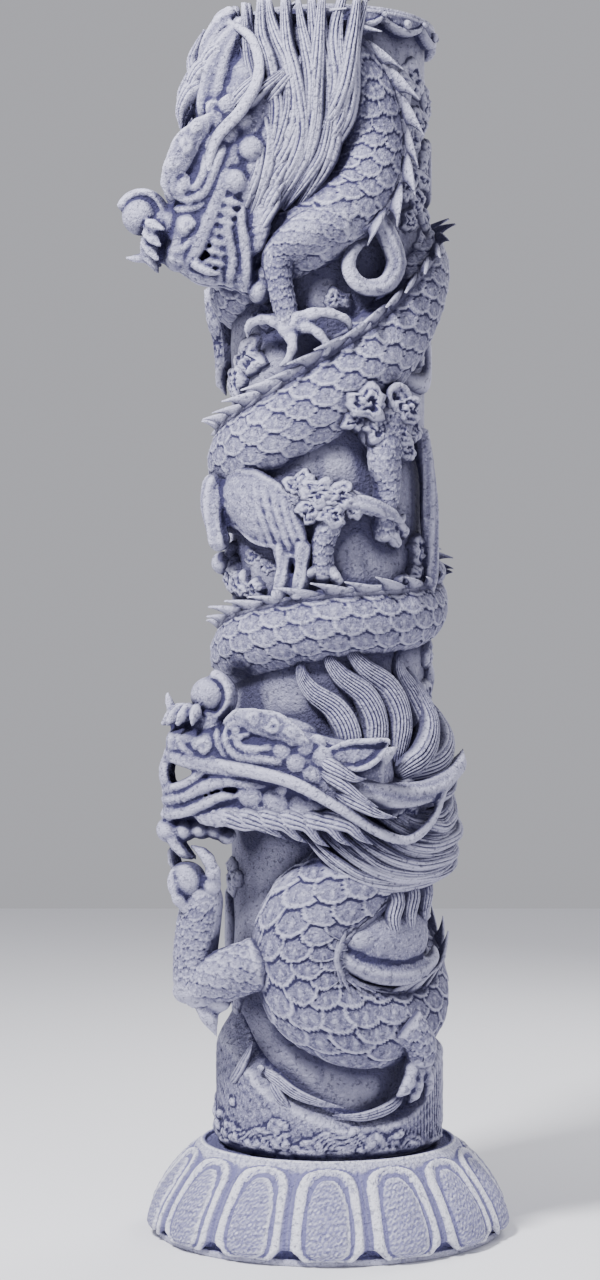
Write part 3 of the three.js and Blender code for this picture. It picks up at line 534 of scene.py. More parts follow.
# Paths of hair and flames: angle, share and out at each point
LOWER_TUFTS = [
    [[9, 0.34, 0.9], [10, 0.368, 0.7], [4, 0.39, 0.5], [-9, 0.407, 0.45], [-15, 0.424, 0.4],
     [-12, 0.446, 0.35]],
    [[20, 0.34, 0.9], [25, 0.378, 0.6], [20, 0.402, 0.45], [6, 0.421, 0.4], [0, 0.438, 0.4], [3, 0.46, 0.4]],
    [[34, 0.34, 0.9], [40, 0.384, 0.6], [34, 0.409, 0.45], [19, 0.428, 0.4], [12, 0.444, 0.4],
     [15, 0.464, 0.4]],
    [[51, 0.34, 0.9], [58, 0.38, 0.55], [52, 0.406, 0.4], [43, 0.426, 0.4], [46, 0.45, 0.35]],
    [[69, 0.34, 0.8], [80, 0.375, 0.4], [78, 0.4, 0.15]],
    [[30, 0.332, 1.35], [46, 0.35, 1.2], [58, 0.38, 0.9], [56, 0.41, 0.5], [52, 0.43, 0.2]],
    [[32, 0.33, 1.3], [56, 0.342, 1.2], [76, 0.362, 1.0], [90, 0.385, 0.6], [92, 0.405, 0.2]],
]
CHEST_FLAMES = [
    [[36, 0.252, 0.9], [40, 0.232, 1.15], [38, 0.212, 1.2], [42, 0.192, 1.0], [45, 0.187, 0.9]],
    [[28, 0.245, 0.9], [31, 0.227, 1.2], [29, 0.209, 1.25], [33, 0.192, 1.1], [36, 0.188, 1.0]],
    [[50, 0.25, 0.8], [52, 0.232, 1.0], [51, 0.212, 1.0], [54, 0.196, 0.9]],
]
LOWER_MANE = [
    [[9.4, 0.311, 1.7], [25, 0.281, 1.6], [46, 0.268, 1.5], [78, 0.275, 1.4], [105, 0.3, 1.1],
     [125, 0.325, 0.8]],
    [[3, 0.3, 1.7], [18, 0.266, 1.6], [40, 0.252, 1.5], [70, 0.258, 1.35], [100, 0.275, 1.1],
     [118, 0.3, 0.7]],
    [[-7, 0.293, 1.5], [9.5, 0.257, 1.5], [32, 0.242, 1.4], [58, 0.246, 1.25], [85, 0.258, 1],
     [105, 0.27, 0.7]],
    [[19, 0.315, 1.5], [35, 0.294, 1.5], [57, 0.289, 1.4], [85, 0.303, 1.2], [112, 0.33, 0.9]],
    [[23, 0.328, 1.4], [41, 0.313, 1.4], [65, 0.32, 1.3], [90, 0.334, 1.1], [115, 0.36, 0.8]],
]
UPPER_MANE = [
    [[-31, 0.815, 1.5], [-19.6, 0.849, 1.35], [-12.6, 0.888, 1.35], [-12.5, 0.931, 1.65],
     [-15, 0.968, 1.75], [-17, 1.03, 1.6]],
    [[-37.5, 0.828, 1.6], [-26, 0.862, 1.55], [-20, 0.905, 1.6], [-21, 0.944, 1.85], [-26, 0.975, 1.85],
     [-28, 1.03, 1.7]],
    [[-23, 0.823, 1.2], [-10, 0.858, 1.2], [-3.5, 0.897, 1.25], [-3, 0.94, 1.55], [-4, 0.972, 1.6],
     [-4, 1.03, 1.5]],
    [[-43.4, 0.806, 1.8], [-33, 0.845, 1.8], [-28.5, 0.884, 1.7], [-29, 0.922, 1.85], [-35, 0.957, 1.8],
     [-40, 1.025, 1.6]],
    [[-12, 0.866, 0.9], [2, 0.892, 1.15], [7, 0.925, 1.5], [7, 0.955, 1.55], [9, 0.98, 1.5],
     [15, 1.025, 1.4]],
    [[-57, 0.93, 0], [-60, 0.94, 0.7], [-62, 0.955, 1.3], [-63, 0.978, 1.3], [-58, 0.995, 1.2]],
    [[-63, 0.91, 0], [-67, 0.92, 0.9], [-70, 0.935, 1.6], [-72, 0.965, 1.7], [-67, 0.99, 1.5]],
    [[-66, 0.89, 0], [-70, 0.9, 1.0], [-73, 0.912, 1.8], [-75, 0.935, 2], [-70, 0.965, 1.8]],
]


class Head:
    """A dragon's head in its own axes: forward to the nose, up through the brow, sideways to its left."""

    def __init__(self, angle, share, out, pitch, yaw):
        turn, dip = math.radians(yaw), math.radians(pitch)
        left = np.array([-math.cos(turn), math.sin(turn), 0.0])
        self.origin = on_shaft(angle, share, out)
        self.forward = left * math.cos(dip) - UP * math.sin(dip)
        self.brow = left * math.sin(dip) + UP * math.cos(dip)
        self.side = np.cross(self.forward, self.brow)
        self.axes = np.stack([self.forward, self.brow, self.side])
        self.carving = Carving()
        self.flames = Carving()

    def flame(self, rows, width, depth, count=5):
        """A lock or flame with fine lines, along forward, brow and side rows, on both sides of the face."""
        for hand in (1, -1):
            points = self.at(np.array(rows, float) * [1, 1, hand])
            degrees = np.degrees(np.unwrap(np.arctan2(points[:, 0], -points[:, 1])))
            share = (points[:, 2] - FOOT_Z) / SHAFT_HEIGHT
            out = (np.hypot(points[:, 0], points[:, 1]) - COIL_RADIUS) / DEPTH
            path = np.stack([degrees, share, out], axis=1)
            strands(self.flames, path, width, depth, count, 26, 0.04, 0.5, 1.1)

    def at(self, rows):
        return self.origin + np.asarray(rows, float) * HEAD_LENGTH @ self.axes

    def tube(self, rows, sides=14, rings=22, bump=None, mirrored=False):
        full = widened(rows)
        wide, high = full[:, 3] * HEAD_LENGTH, full[:, 4] * HEAD_LENGTH
        up = self.brow + 1e-3 * self.forward
        for hand in ((1, -1) if mirrored else (1,)):
            stations = self.at(full[:, :3] * [1, 1, hand])
            self.carving.tube(stations, wide, high, lambda p: np.tile(up, (len(p), 1)), sides, rings, bump)

    def ball(self, at, sizes, mirrored=False, sides=24, steps=16):
        for hand in ((1, -1) if mirrored else (1,)):
            place = self.at([[at[0], at[1], at[2] * hand]])[0]
            self.carving.ball(place, self.axes, np.array(sizes) * HEAD_LENGTH, sides, steps)

    def leaf(self, root, tip, wide, thick, bend):
        """A flat pointed leaf with a ridge down its middle."""
        root, tip, bend = np.array(root, float), np.array(tip, float), np.array(bend, float)
        rows = [[*(root + (tip - root) * t + bend * math.sin(math.pi * t)), w * thick, w * wide]
                for t, w in ((0, 0.8), (0.3, 1.0), (0.6, 0.75), (0.85, 0.4), (1, 0.08))]
        self.tube(rows, 24, 20, lambda t, a: 0.12 * np.cos(8 * a))

    def curl(self, f, u, s, size, thick, hand=1):
        """A small raised spiral on both sides of the face."""
        rows = []
        for w in np.linspace(0, 0.85, 12):
            reach, turn = size * (1 - w), hand * 8.5 * w
            rows.append([f + reach * math.cos(turn), u + reach * math.sin(turn), s, thick])
        self.tube(rows, 8, 40, None, True)


def boxy(t, a):
    return 0.13 * np.abs(np.sin(2 * a))


def grooved(t, a):
    """A line along the outer side of a band."""
    return -0.14 * np.exp(-((np.sin(a) / 0.22) ** 2))


def rimmed(t, a):
    """A leaf's rim round a sunk middle."""
    side = np.abs(np.sin(a))
    return 0.12 * side**8 - 0.12 * (side < 0.86) * smooth(0, 0.2, t)


def mask(head, toothed):
    """The face that both dragons have."""
    head.tube([[-0.04, -0.03, 0, 0.11, 0.12], [0.1, -0.03, 0, 0.168, 0.155], [0.2, -0.03, 0, 0.185, 0.165],
               [0.34, -0.005, 0, 0.186, 0.168], [0.48, 0.045, 0, 0.172, 0.165], [0.62, 0.08, 0, 0.148, 0.13],
               [0.76, 0.09, 0, 0.122, 0.1], [0.89, 0.11, 0, 0.105, 0.078], [0.96, 0.12, 0, 0.09, 0.06],
               [1.0, 0.12, 0, 0.04, 0.03]], 48, 80, boxy)
    head.tube([[0.1, -0.08, 0, 0.13, 0.1], [0.28, -0.125, 0, 0.158, 0.1], [0.48, -0.14, 0, 0.148, 0.085],
               [0.66, -0.15, 0, 0.126, 0.066], [0.82, -0.162, 0, 0.105, 0.052],
               [0.94, -0.17, 0, 0.09, 0.046], [1.01, -0.165, 0, 0.06, 0.04]], 36, 60, boxy)
    # flesh between the jaws, back from the gap at the front of the mouth
    head.tube([[0.15, -0.05, 0, 0.15, 0.09], [0.5, -0.045, 0, 0.15, 0.08], [0.72, -0.045, 0, 0.118, 0.06],
               [0.86, -0.06, 0, 0.085, 0.065]], 28, 40)
    head.tube([[0.985, 0.06, 0.035, 0.035, 0.024], [1.0, -0.01, 0.045, 0.035, 0.024],
               [0.985, -0.1, 0.035, 0.035, 0.024]],
              12, 20, None, True)
    # the ball on the nose, in a cup with a leafy edge, and the hood that hugs it
    head.tube([[0.79, 0.08, 0, 0.085], [0.8, 0.19, 0, 0.092], [0.805, 0.27, 0, 0.072]], 22, 18)
    head.ball([0.8, 0.331, 0], [0.086, 0.086, 0.092], sides=36, steps=26)
    hood = []
    for a in np.linspace(1.6, 4.5, 9):
        wide = 0.08 * math.sin(0.4 + 0.5 * (a - 1.4))
        hood.append([0.8 + 0.1 * math.cos(a), 0.326 + 0.1 * math.sin(a), 0, wide, 0.026])
    head.tube(hood, 24, 44)
    for k in range(9):
        a = -1.5 + 0.42 * k
        edge = np.array([0.82 + 0.07 * math.cos(a), 0.262, 0.085 * math.sin(a)])
        away = np.array([0.12 * math.cos(a) + 0.02, -0.075, 0.06 * math.sin(a)])
        head.leaf(edge, edge + away, 0.042, 0.024, (0.0, 0.022, 0))
    head.tube([[0.92, 0.17, 0, 0.05, 0.06], [0.955, 0.235, 0, 0.036, 0.036], [0.985, 0.295, 0, 0.022, 0.02],
               [1.0, 0.365, 0, 0.004]], 14, 24)
    # the muzzle's ridge and the nostril's curl
    head.tube([[0.93, 0.165, 0.085, 0.012], [0.9, 0.1, 0.1, 0.016, 0.018],
               [0.84, 0.065, 0.112, 0.016, 0.018], [0.76, 0.055, 0.122, 0.014, 0.016],
               [0.69, 0.06, 0.13, 0.006]], 12, 40, None, True)
    head.ball([0.8, 0.11, 0.1], [0.062, 0.05, 0.04], True)
    head.curl(0.8, 0.1, 0.136, 0.036, 0.009)
    # the thick upper lip that runs on as the whisker, ribbed at its front
    lip = [[1.0, 0.075, 0.03, 0.02, 0.026], [0.93, 0.05, 0.088, 0.022, 0.03],
           [0.85, 0.032, 0.112, 0.024, 0.034], [0.76, 0.015, 0.13, 0.026, 0.036],
           [0.66, 0.002, 0.148, 0.026, 0.036], [0.556, -0.006, 0.162, 0.024, 0.034],
           [0.46, -0.025, 0.176, 0.024, 0.032], [0.378, -0.049, 0.186, 0.022, 0.03],
           [0.28, -0.1, 0.196, 0.02, 0.026]]
    if toothed:
        lip = lip[:6] + [[0.48, -0.01, 0.15, 0.01]]
    head.tube(lip, 20, 130, lambda t, a: grooved(t, a) + 0.05 * np.sin(t * 140) * (t < 0.3), True)
    # nested folds from the nostril round under the eye
    for fold in ([[0.7, 0.2, 0.12, 0.01], [0.69, 0.124, 0.137, 0.018, 0.02],
                  [0.64, 0.067, 0.152, 0.02, 0.024], [0.564, 0.053, 0.166, 0.02, 0.024],
                  [0.476, 0.044, 0.178, 0.014, 0.02], [0.42, 0.03, 0.18, 0.006]],
                 [[0.662, 0.164, 0.14, 0.008], [0.631, 0.111, 0.156, 0.016, 0.018],
                  [0.564, 0.094, 0.17, 0.016, 0.02], [0.489, 0.105, 0.177, 0.006]],
                 [[0.745, 0.2, 0.1, 0.008], [0.735, 0.13, 0.12, 0.014, 0.016],
                  [0.69, 0.06, 0.135, 0.014, 0.016], [0.62, 0.032, 0.15, 0.012, 0.014],
                  [0.54, 0.026, 0.163, 0.004]]):
        head.tube(fold, 14, 50, None, True)
    # eye, lids, and the leaf-shaped brow with its curls
    head.ball([0.642, 0.182, 0.132], [0.034, 0.028, 0.028], True, 28, 18)
    head.tube([[0.7, 0.165, 0.118, 0.006], [0.672, 0.205, 0.138, 0.013], [0.63, 0.215, 0.15, 0.014],
               [0.585, 0.19, 0.158, 0.008]], 10, 28, None, True)
    head.tube([[0.7, 0.165, 0.12, 0.006], [0.65, 0.145, 0.15, 0.012], [0.59, 0.162, 0.16, 0.006]],
              10, 24, None, True)
    brow = [[0.72, 0.2, 0.1, 0.01], [0.68, 0.23, 0.12, 0.02, 0.018], [0.64, 0.245, 0.132, 0.026, 0.028],
            [0.578, 0.225, 0.15, 0.03, 0.05], [0.467, 0.2, 0.168, 0.03, 0.057],
            [0.378, 0.158, 0.184, 0.024, 0.042], [0.302, 0.13, 0.198, 0.006, 0.006]]
    head.tube(brow, 24, 70, rimmed, True)
    head.curl(0.56, 0.228, 0.176, 0.03, 0.01)
    head.curl(0.47, 0.205, 0.194, 0.034, 0.011, -1)
    head.curl(0.39, 0.168, 0.205, 0.024, 0.009)
    head.ball([0.46, 0.15, 0], [0.17, 0.085, 0.11])
    # small lobes above the lip's end, and the row of cheek lobes under it
    for f, u, s, size in ((0.427, 0.082, 0.162, 0.046), (0.365, 0.03, 0.172, 0.046),
                          (0.3, -0.02, 0.175, 0.044),
                          (0.33, 0.1, 0.165, 0.042), (0.25, 0.06, 0.172, 0.044), (0.28, 0.12, 0.15, 0.04)):
        head.ball([f, u, s + 0.008], [size * 1.1, size * 1.1, 0.02], True, 26, 18)
    for f, u, s, size in ((0.573, -0.1, 0.118, 0.066), (0.451, -0.122, 0.13, 0.07),
                          (0.329, -0.135, 0.138, 0.078),
                          (0.21, -0.1, 0.142, 0.07), (0.13, -0.15, 0.12, 0.066)):
        head.ball([f, u, s + 0.01], [size * 1.15, size * 1.05, 0.036], True, 30, 20)
    head.ball([0.43, -0.085, 0.176], [0.02, 0.017, 0.014], True, 16, 10)
    head.tube([[0.47, -0.085, 0.168, 0.005], [0.43, -0.062, 0.178, 0.008], [0.39, -0.085, 0.172, 0.005]],
              8, 16, None, True)
    # the lower lip's rolls, which sweep up to the upper lip behind the gap
    for roll in ([[1.0, -0.1, 0.03, 0.026, 0.022], [0.95, -0.085, 0.07, 0.026, 0.024],
                  [0.89, -0.065, 0.092, 0.026, 0.026], [0.84, -0.035, 0.108, 0.026, 0.024],
                  [0.8, 0.0, 0.118, 0.02, 0.02]],
                 [[1.0, -0.14, 0.03, 0.024, 0.026], [0.96, -0.132, 0.07, 0.024, 0.026],
                  [0.89, -0.12, 0.097, 0.024, 0.028], [0.8, -0.076, 0.12, 0.026, 0.03],
                  [0.7, -0.05, 0.138, 0.024, 0.026], [0.6, -0.058, 0.152, 0.018, 0.02],
                  [0.5, -0.07, 0.16, 0.006]],
                 [[1.01, -0.205, 0.03, 0.022, 0.026], [0.95, -0.2, 0.07, 0.022, 0.026],
                  [0.89, -0.188, 0.094, 0.022, 0.026], [0.8, -0.152, 0.117, 0.022, 0.026],
                  [0.72, -0.118, 0.132, 0.02, 0.022], [0.62, -0.11, 0.142, 0.006]]):
        head.tube(roll, 16, 120, lambda t, a: 0.08 * np.sin(t * 120) * (t < 0.38), True)
    if toothed:
        head.tube([[0.35, -0.05, 0, 0.14, 0.07], [0.65, -0.05, 0, 0.124, 0.065],
                   [0.8, -0.055, 0, 0.104, 0.06], [0.95, -0.05, 0, 0.075, 0.05]], 28, 40)
        for k in range(7):
            f, s = 0.93 - 0.045 * k, 0.1 + 0.009 * k
            head.tube([[f, 0.0, s, 0.022, 0.017], [f - 0.002, -0.1, s, 0.02, 0.013]], 10, 8, None, True)
        head.tube([[0.95, 0.05, 0.09, 0.026], [0.975, -0.03, 0.105, 0.02], [0.97, -0.1, 0.1, 0.006]],
                  12, 16, None, True)
    # chin, its beard, and the leaf lobe and flames along the jaw
    for f, u, size in ((0.985, -0.275, 0.06), (0.91, -0.275, 0.052), (0.835, -0.268, 0.05),
                       (0.765, -0.272, 0.048),
                       (0.72, -0.3, 0.04)):
        head.ball([f, u, 0], [size, size, 0.08])
    for s in (0.0, 0.04):
        head.tube([[0.96, -0.25, s, 0.03], [0.96, -0.31, s, 0.03], [0.92, -0.37, s, 0.024],
                   [0.86, -0.41, s * 0.6, 0.008]],
                  12, 24, lambda t, a: 0.16 * np.abs(np.sin(a * 3)), s > 0)
    head.tube([[0.86, -0.2, 0.08, 0.01], [0.8, -0.213, 0.1, 0.022, 0.036],
               [0.72, -0.212, 0.117, 0.026, 0.043], [0.66, -0.198, 0.126, 0.022, 0.034],
               [0.6, -0.18, 0.13, 0.006]], 24, 50,
              lambda t, a: 0.09 * np.sin(t * 60 + 3 * a), True)
    tips = ((0.56, -0.262), (0.47, -0.285), (0.375, -0.3), (0.275, -0.315), (0.17, -0.31), (0.08, -0.3))
    for k, (f, u) in enumerate(tips):
        s = 0.114 + 0.01 * k
        head.flame([[f + 0.19, -0.2, s], [f + 0.12, -0.212, s + 0.014], [f + 0.05, -0.238, s + 0.02],
                    [f, u + 0.012, s + 0.014], [f - 0.05, u - 0.02, s + 0.002]], 0.3, 0.16, 4)
    # leaves behind the cheek
    for rows in ([[0.26, 0.0, 0.17], [0.16, -0.055, 0.195], [0.07, -0.12, 0.205], [0.0, -0.155, 0.2]],
                 [[0.2, -0.09, 0.17], [0.09, -0.14, 0.19], [0.0, -0.185, 0.19], [-0.08, -0.2, 0.18]],
                 [[0.26, 0.05, 0.17], [0.18, 0.01, 0.2], [0.1, -0.03, 0.21], [0.05, -0.03, 0.21]]):
        head.flame(rows, 0.24, 0.22, 4)
    if toothed:
        head.tube([[0.34, 0.1, 0.07, 0.06, 0.08], [0.24, 0.13, 0.07, 0.085, 0.1],
                   [0.12, 0.15, 0.07, 0.08, 0.09], [0.0, 0.15, 0.07, 0.06, 0.07],
                   [-0.12, 0.11, 0.06, 0.04, 0.05], [-0.2, 0.06, 0.05, 0.012]],
                  30, 60, lambda t, a: 0.07 * np.cos(7 * a + 3 * t), True)
        head.ball([0.64, 0.172, 0.136], [0.05, 0.036, 0.034], True)
        head.ball([0.407, -0.08, 0.16], [0.06, 0.06, 0.05], True)
        head.ball([0.567, -0.045, 0.152], [0.058, 0.058, 0.046], True)
        for f, u in ((-0.02, 0.2), (0.06, 0.235), (0.16, 0.25)):
            head.flame([[f, u - 0.05, 0.08], [f + 0.06, u, 0.09], [f + 0.16, u + 0.02, 0.09],
                        [f + 0.24, u - 0.01, 0.1]], 0.3, 0.3, 4)
        return
    # the ear, a leaf with a hollow
    head.tube([[0.24, 0.06, 0.16, 0.02, 0.03], [0.12, 0.07, 0.172, 0.026, 0.058],
               [0.03, 0.088, 0.172, 0.022, 0.05], [-0.05, 0.13, 0.17, 0.006, 0.01]], 20, 30, None, True)
    for edge in ([[0.24, 0.09, 0.165, 0.01], [0.13, 0.128, 0.19, 0.018, 0.014],
                  [0.03, 0.136, 0.2, 0.018, 0.014], [-0.07, 0.145, 0.195, 0.006]],
                 [[0.18, 0.02, 0.175, 0.01], [0.1, 0.008, 0.195, 0.018, 0.014],
                  [0.02, 0.04, 0.2, 0.018, 0.014], [-0.065, 0.14, 0.195, 0.006]]):
        head.tube(edge, 12, 30, None, True)


# Limbs on the shaft: each row is angle, share, out, half width and, where it differs, half height
LEGS = [
    # upper dragon, right fore leg with its toes and the hooked band at its elbow
    [[14, 0.812, 0.8, 0.6, 0.5], [-8, 0.802, 1.0, 0.62, 0.55], [-23, 0.783, 1.0, 0.5, 0.5],
     [-23, 0.755, 0.95, 0.36, 0.4], [-20, 0.728, 0.85, 0.34, 0.36], [-20, 0.718, 0.8, 0.3]],
    # upper dragon, left fore leg, behind the shaft's left edge
    [[-100, 0.775, 0.7, 0.55], [-106, 0.75, 0.8, 0.5], [-113, 0.725, 0.85, 0.38], [-110, 0.7, 0.75, 0.32],
     [-108, 0.69, 0.7, 0.3]],
    # upper dragon, hind legs
    [[33, 0.66, 0.6, 0.6, 0.5], [30, 0.61, 0.65, 0.52], [33, 0.58, 0.5, 0.38, 0.5],
     [31, 0.557, 0.4, 0.32, 0.42], [34, 0.535, 0.35, 0.3, 0.4]],
    [[6, 0.575, 0.4, 0.55, 0.45], [0, 0.55, 0.45, 0.4, 0.42], [-3, 0.53, 0.4, 0.32, 0.4],
     [-2, 0.498, 0.3, 0.3, 0.36]],
    # lower dragon: raised arm, right leg, hidden hind leg
    [[-26, 0.175, 0.9, 0.8, 0.7], [-44, 0.162, 1.5, 0.78], [-57, 0.15, 1.95, 0.72], [-59, 0.17, 2.0, 0.68],
     [-58, 0.198, 1.95, 0.68], [-56, 0.222, 1.9, 0.64], [-56, 0.24, 1.9, 0.5]],
    [[36, 0.12, 1.1, 0.6, 0.5], [44, 0.1, 1.25, 0.5], [46, 0.078, 1.2, 0.36]],
    [[170, 0.235, 0.8, 0.6, 0.5], [186, 0.2, 0.9, 0.45], [178, 0.165, 0.8, 0.34], [180, 0.145, 0.75, 0.3]],
]
# Toes, in the order of their legs
TOES = [
    [[-20, 0.722, 0.9, 0.3], [-30, 0.728, 1.0, 0.17], [-40, 0.724, 1.0, 0.15], [-43, 0.708, 0.85, 0.02]],
    [[-20, 0.72, 0.9, 0.3], [-16, 0.704, 1.1, 0.17], [-19, 0.69, 1.05, 0.14], [-27, 0.686, 0.9, 0.02]],
    [[-18, 0.722, 0.9, 0.3], [-6, 0.716, 1.1, 0.17], [0, 0.7, 1.0, 0.14], [-7, 0.69, 0.8, 0.02]],
    [[-18, 0.724, 0.9, 0.3], [-2, 0.731, 1.1, 0.17], [9, 0.724, 1.0, 0.14], [11, 0.708, 0.8, 0.02]],
    [[-111, 0.705, 0.6, 0.28], [-98, 0.688, 0.7, 0.2], [-91, 0.668, 0.4, 0.03]],
    [[30, 0.556, 0.35, 0.3], [43, 0.548, 0.5, 0.2, 0.3], [51, 0.536, 0.3, 0.02]],
    [[31, 0.556, 0.35, 0.3], [38, 0.538, 0.5, 0.2, 0.3], [45, 0.528, 0.3, 0.02]],
    [[-2, 0.514, 0.3, 0.28], [-11, 0.506, 0.45, 0.18, 0.3], [-17, 0.496, 0.25, 0.02]],
    [[-2, 0.514, 0.3, 0.28], [5, 0.502, 0.45, 0.18, 0.3], [9, 0.492, 0.25, 0.02]],
    [[-54, 0.225, 1.9, 0.36], [-48, 0.245, 1.95, 0.24], [-49, 0.264, 2.2, 0.2], [-54, 0.273, 2.5, 0.05]],
    [[-58, 0.225, 1.9, 0.36], [-66, 0.24, 2.15, 0.24], [-67, 0.26, 2.45, 0.2], [-62, 0.272, 2.7, 0.05]],
    [[-56, 0.215, 2.1, 0.3], [-56, 0.222, 2.65, 0.2], [-57, 0.24, 2.95, 0.15], [-58, 0.252, 2.9, 0.05]],
    [[44, 0.094, 1.1, 0.28], [38, 0.062, 1.1, 0.2], [33, 0.052, 0.9, 0.04]],
    [[45, 0.094, 1.1, 0.28], [44, 0.057, 1.1, 0.2], [41, 0.045, 0.9, 0.04]],
    [[45, 0.092, 1.1, 0.28], [53, 0.062, 1.1, 0.2], [53, 0.045, 0.9, 0.04]],
    [[180, 0.148, 0.75, 0.26], [170, 0.138, 0.9, 0.16], [164, 0.122, 0.75, 0.03]],
    [[180, 0.148, 0.75, 0.26], [191, 0.138, 0.9, 0.16], [196, 0.122, 0.75, 0.03]],
]
# Grooved bands, such as the hook at the upper elbow and the rim under the chest's fold
BANDS = [
    [[12, 0.846, 0.6, 0.26, 0.2], [22, 0.822, 0.75, 0.34, 0.24], [31, 0.797, 0.85, 0.36, 0.24],
     [35, 0.776, 0.85, 0.34, 0.24], [28, 0.757, 0.85, 0.3, 0.24], [16, 0.756, 0.8, 0.27, 0.22],
     [10, 0.771, 0.8, 0.24, 0.2], [13, 0.788, 0.75, 0.2, 0.2], [22, 0.797, 0.7, 0.08]],
    [[-8, 0.583, 0.1, 0.3], [8, 0.575, 0.3, 0.3, 0.4], [25, 0.566, 0.3, 0.3, 0.4], [42, 0.553, 0.1, 0.1]],
    [[-58, 0.15, 2.0, 0.4], [-52, 0.125, 1.9, 0.3], [-50, 0.105, 1.7, 0.05]],
    [[4, 0.19, 1.05, 0.1], [9, 0.175, 1.08, 0.3, 0.2], [24, 0.163, 1.1, 0.36, 0.22],
     [42, 0.161, 1.05, 0.36, 0.22], [62, 0.169, 0.9, 0.24, 0.2], [84, 0.181, 0.6, 0.04]],
]
# Two horns of the lower head, and one of the upper
HORNS = [
    [[2, 0.328, 1.7, 0.3, 0.3], [12, 0.322, 1.8, 0.42, 0.36], [27, 0.316, 1.75, 0.42, 0.36],
     [44, 0.32, 1.65, 0.36], [67, 0.337, 1.55, 0.28], [88, 0.355, 1.55, 0.05]],
    [[9.7, 0.341, 1.7, 0.3, 0.3], [20, 0.348, 1.7, 0.3, 0.24], [32, 0.361, 1.5, 0.03]],
    [[-46, 0.935, 1.9, 0.4, 0.4], [-50, 0.96, 1.9, 0.42, 0.36], [-47, 0.985, 1.7, 0.34, 0.3],
     [-42, 0.997, 1.5, 0.2]],
]
# A whisker's rows have one half width; it is carved a little flatter and lower than that
WHISKERS = [
    [[-46, 0.346, 2.35, 0.2], [-37, 0.341, 2.25, 0.27], [-28, 0.3374, 2.15, 0.28], [-13, 0.3288, 2.15, 0.26],
     [4.2, 0.3073, 2.2, 0.24], [19.5, 0.2849, 2.2, 0.22], [30, 0.279, 2.15, 0.2], [42, 0.294, 2.05, 0.19],
     [52, 0.3245, 1.95, 0.17], [68, 0.338, 1.8, 0.12], [88, 0.349, 1.55, 0.03]],
    [[-54, 0.818, 2.3, 0.2], [-44, 0.842, 2.7, 0.26], [-39, 0.876, 2.75, 0.27], [-30, 0.902, 2.5, 0.26],
     [-25, 0.932, 2.25, 0.24], [-29, 0.963, 2.05, 0.22], [-43, 0.984, 1.8, 0.18], [-56, 0.993, 1.4, 0.05]],
]
# The robed figure's boots, the post at its left, and a tapering limb on its right
FIGURE = [
    [[-25, 0.535, 0.5, 0.3], [-24, 0.51, 0.6, 0.24], [-25, 0.492, 0.7, 0.26, 0.3], [-28, 0.487, 0.9, 0.14]],
    [[-14, 0.535, 0.5, 0.3], [-14, 0.51, 0.6, 0.24], [-15, 0.492, 0.7, 0.26, 0.3], [-18, 0.487, 0.9, 0.14]],
    [[-70, 0.595, 0.9, 0.26], [-69, 0.586, 1.1, 0.36], [-66, 0.565, 1.15, 0.36], [-62, 0.54, 1.1, 0.34],
     [-60, 0.53, 1.0, 0.24]],
    [[8, 0.568, 0.75, 0.2, 0.2], [20, 0.567, 0.8, 0.3, 0.24], [32, 0.561, 0.75, 0.24, 0.2],
     [40, 0.555, 0.7, 0.14], [43, 0.562, 0.7, 0.06]],
]
TRUNK = [[62, 0.64, 0.4, 0.3], [64, 0.6, 0.66, 0.28], [66, 0.555, 0.7, 0.28], [66, 0.51, 0.68, 0.3],
         [66, 0.485, 0.4, 0.3]]
# angle, share, out, then half sizes round, up and out
LEG_BOSSES = [
    [-20, 0.724, 0.7, 0.4, 0.32, 0.4],
    [33, 0.64, 0.4, 1.0, 1.05, 0.7],
    [3, 0.567, 0.3, 0.85, 0.5, 0.5],
    [176, 0.24, 0.7, 0.9, 0.85, 0.45],
    [-64, 0.143, 2.1, 0.5, 0.42, 0.45],
    [-50, 0.138, 1.7, 0.5, 0.42, 0.45],
    [30, 0.192, 0.2, 1.75, 1.3, 1.2],
    [17, 0.193, 0.95, 0.75, 0.5, 0.42],
]
FIGURE_BOSSES = [
    [-78, 0.52, 0.6, 0.4, 0.38, 0.4], [76, 0.512, 0.6, 0.6, 0.45, 0.45], [-44, 0.565, 0.3, 1.0, 1.0, 0.45],
]
PEARL = [-58, 0.241, 2.35, 0.6, 0.6, 0.6]
# angle, share, size in metres, hand
SCROLLS = [
    [70, 0.705, 0.078, -1], [100, 0.88, 0.084, 1], [170, 0.9, 0.096, -1], [240, 0.89, 0.096, 1],
    [150, 0.68, 0.08, 1], [160, 0.51, 0.078, 1], [275, 0.36, 0.096, -1], [262, 0.2, 0.096, -1],
]


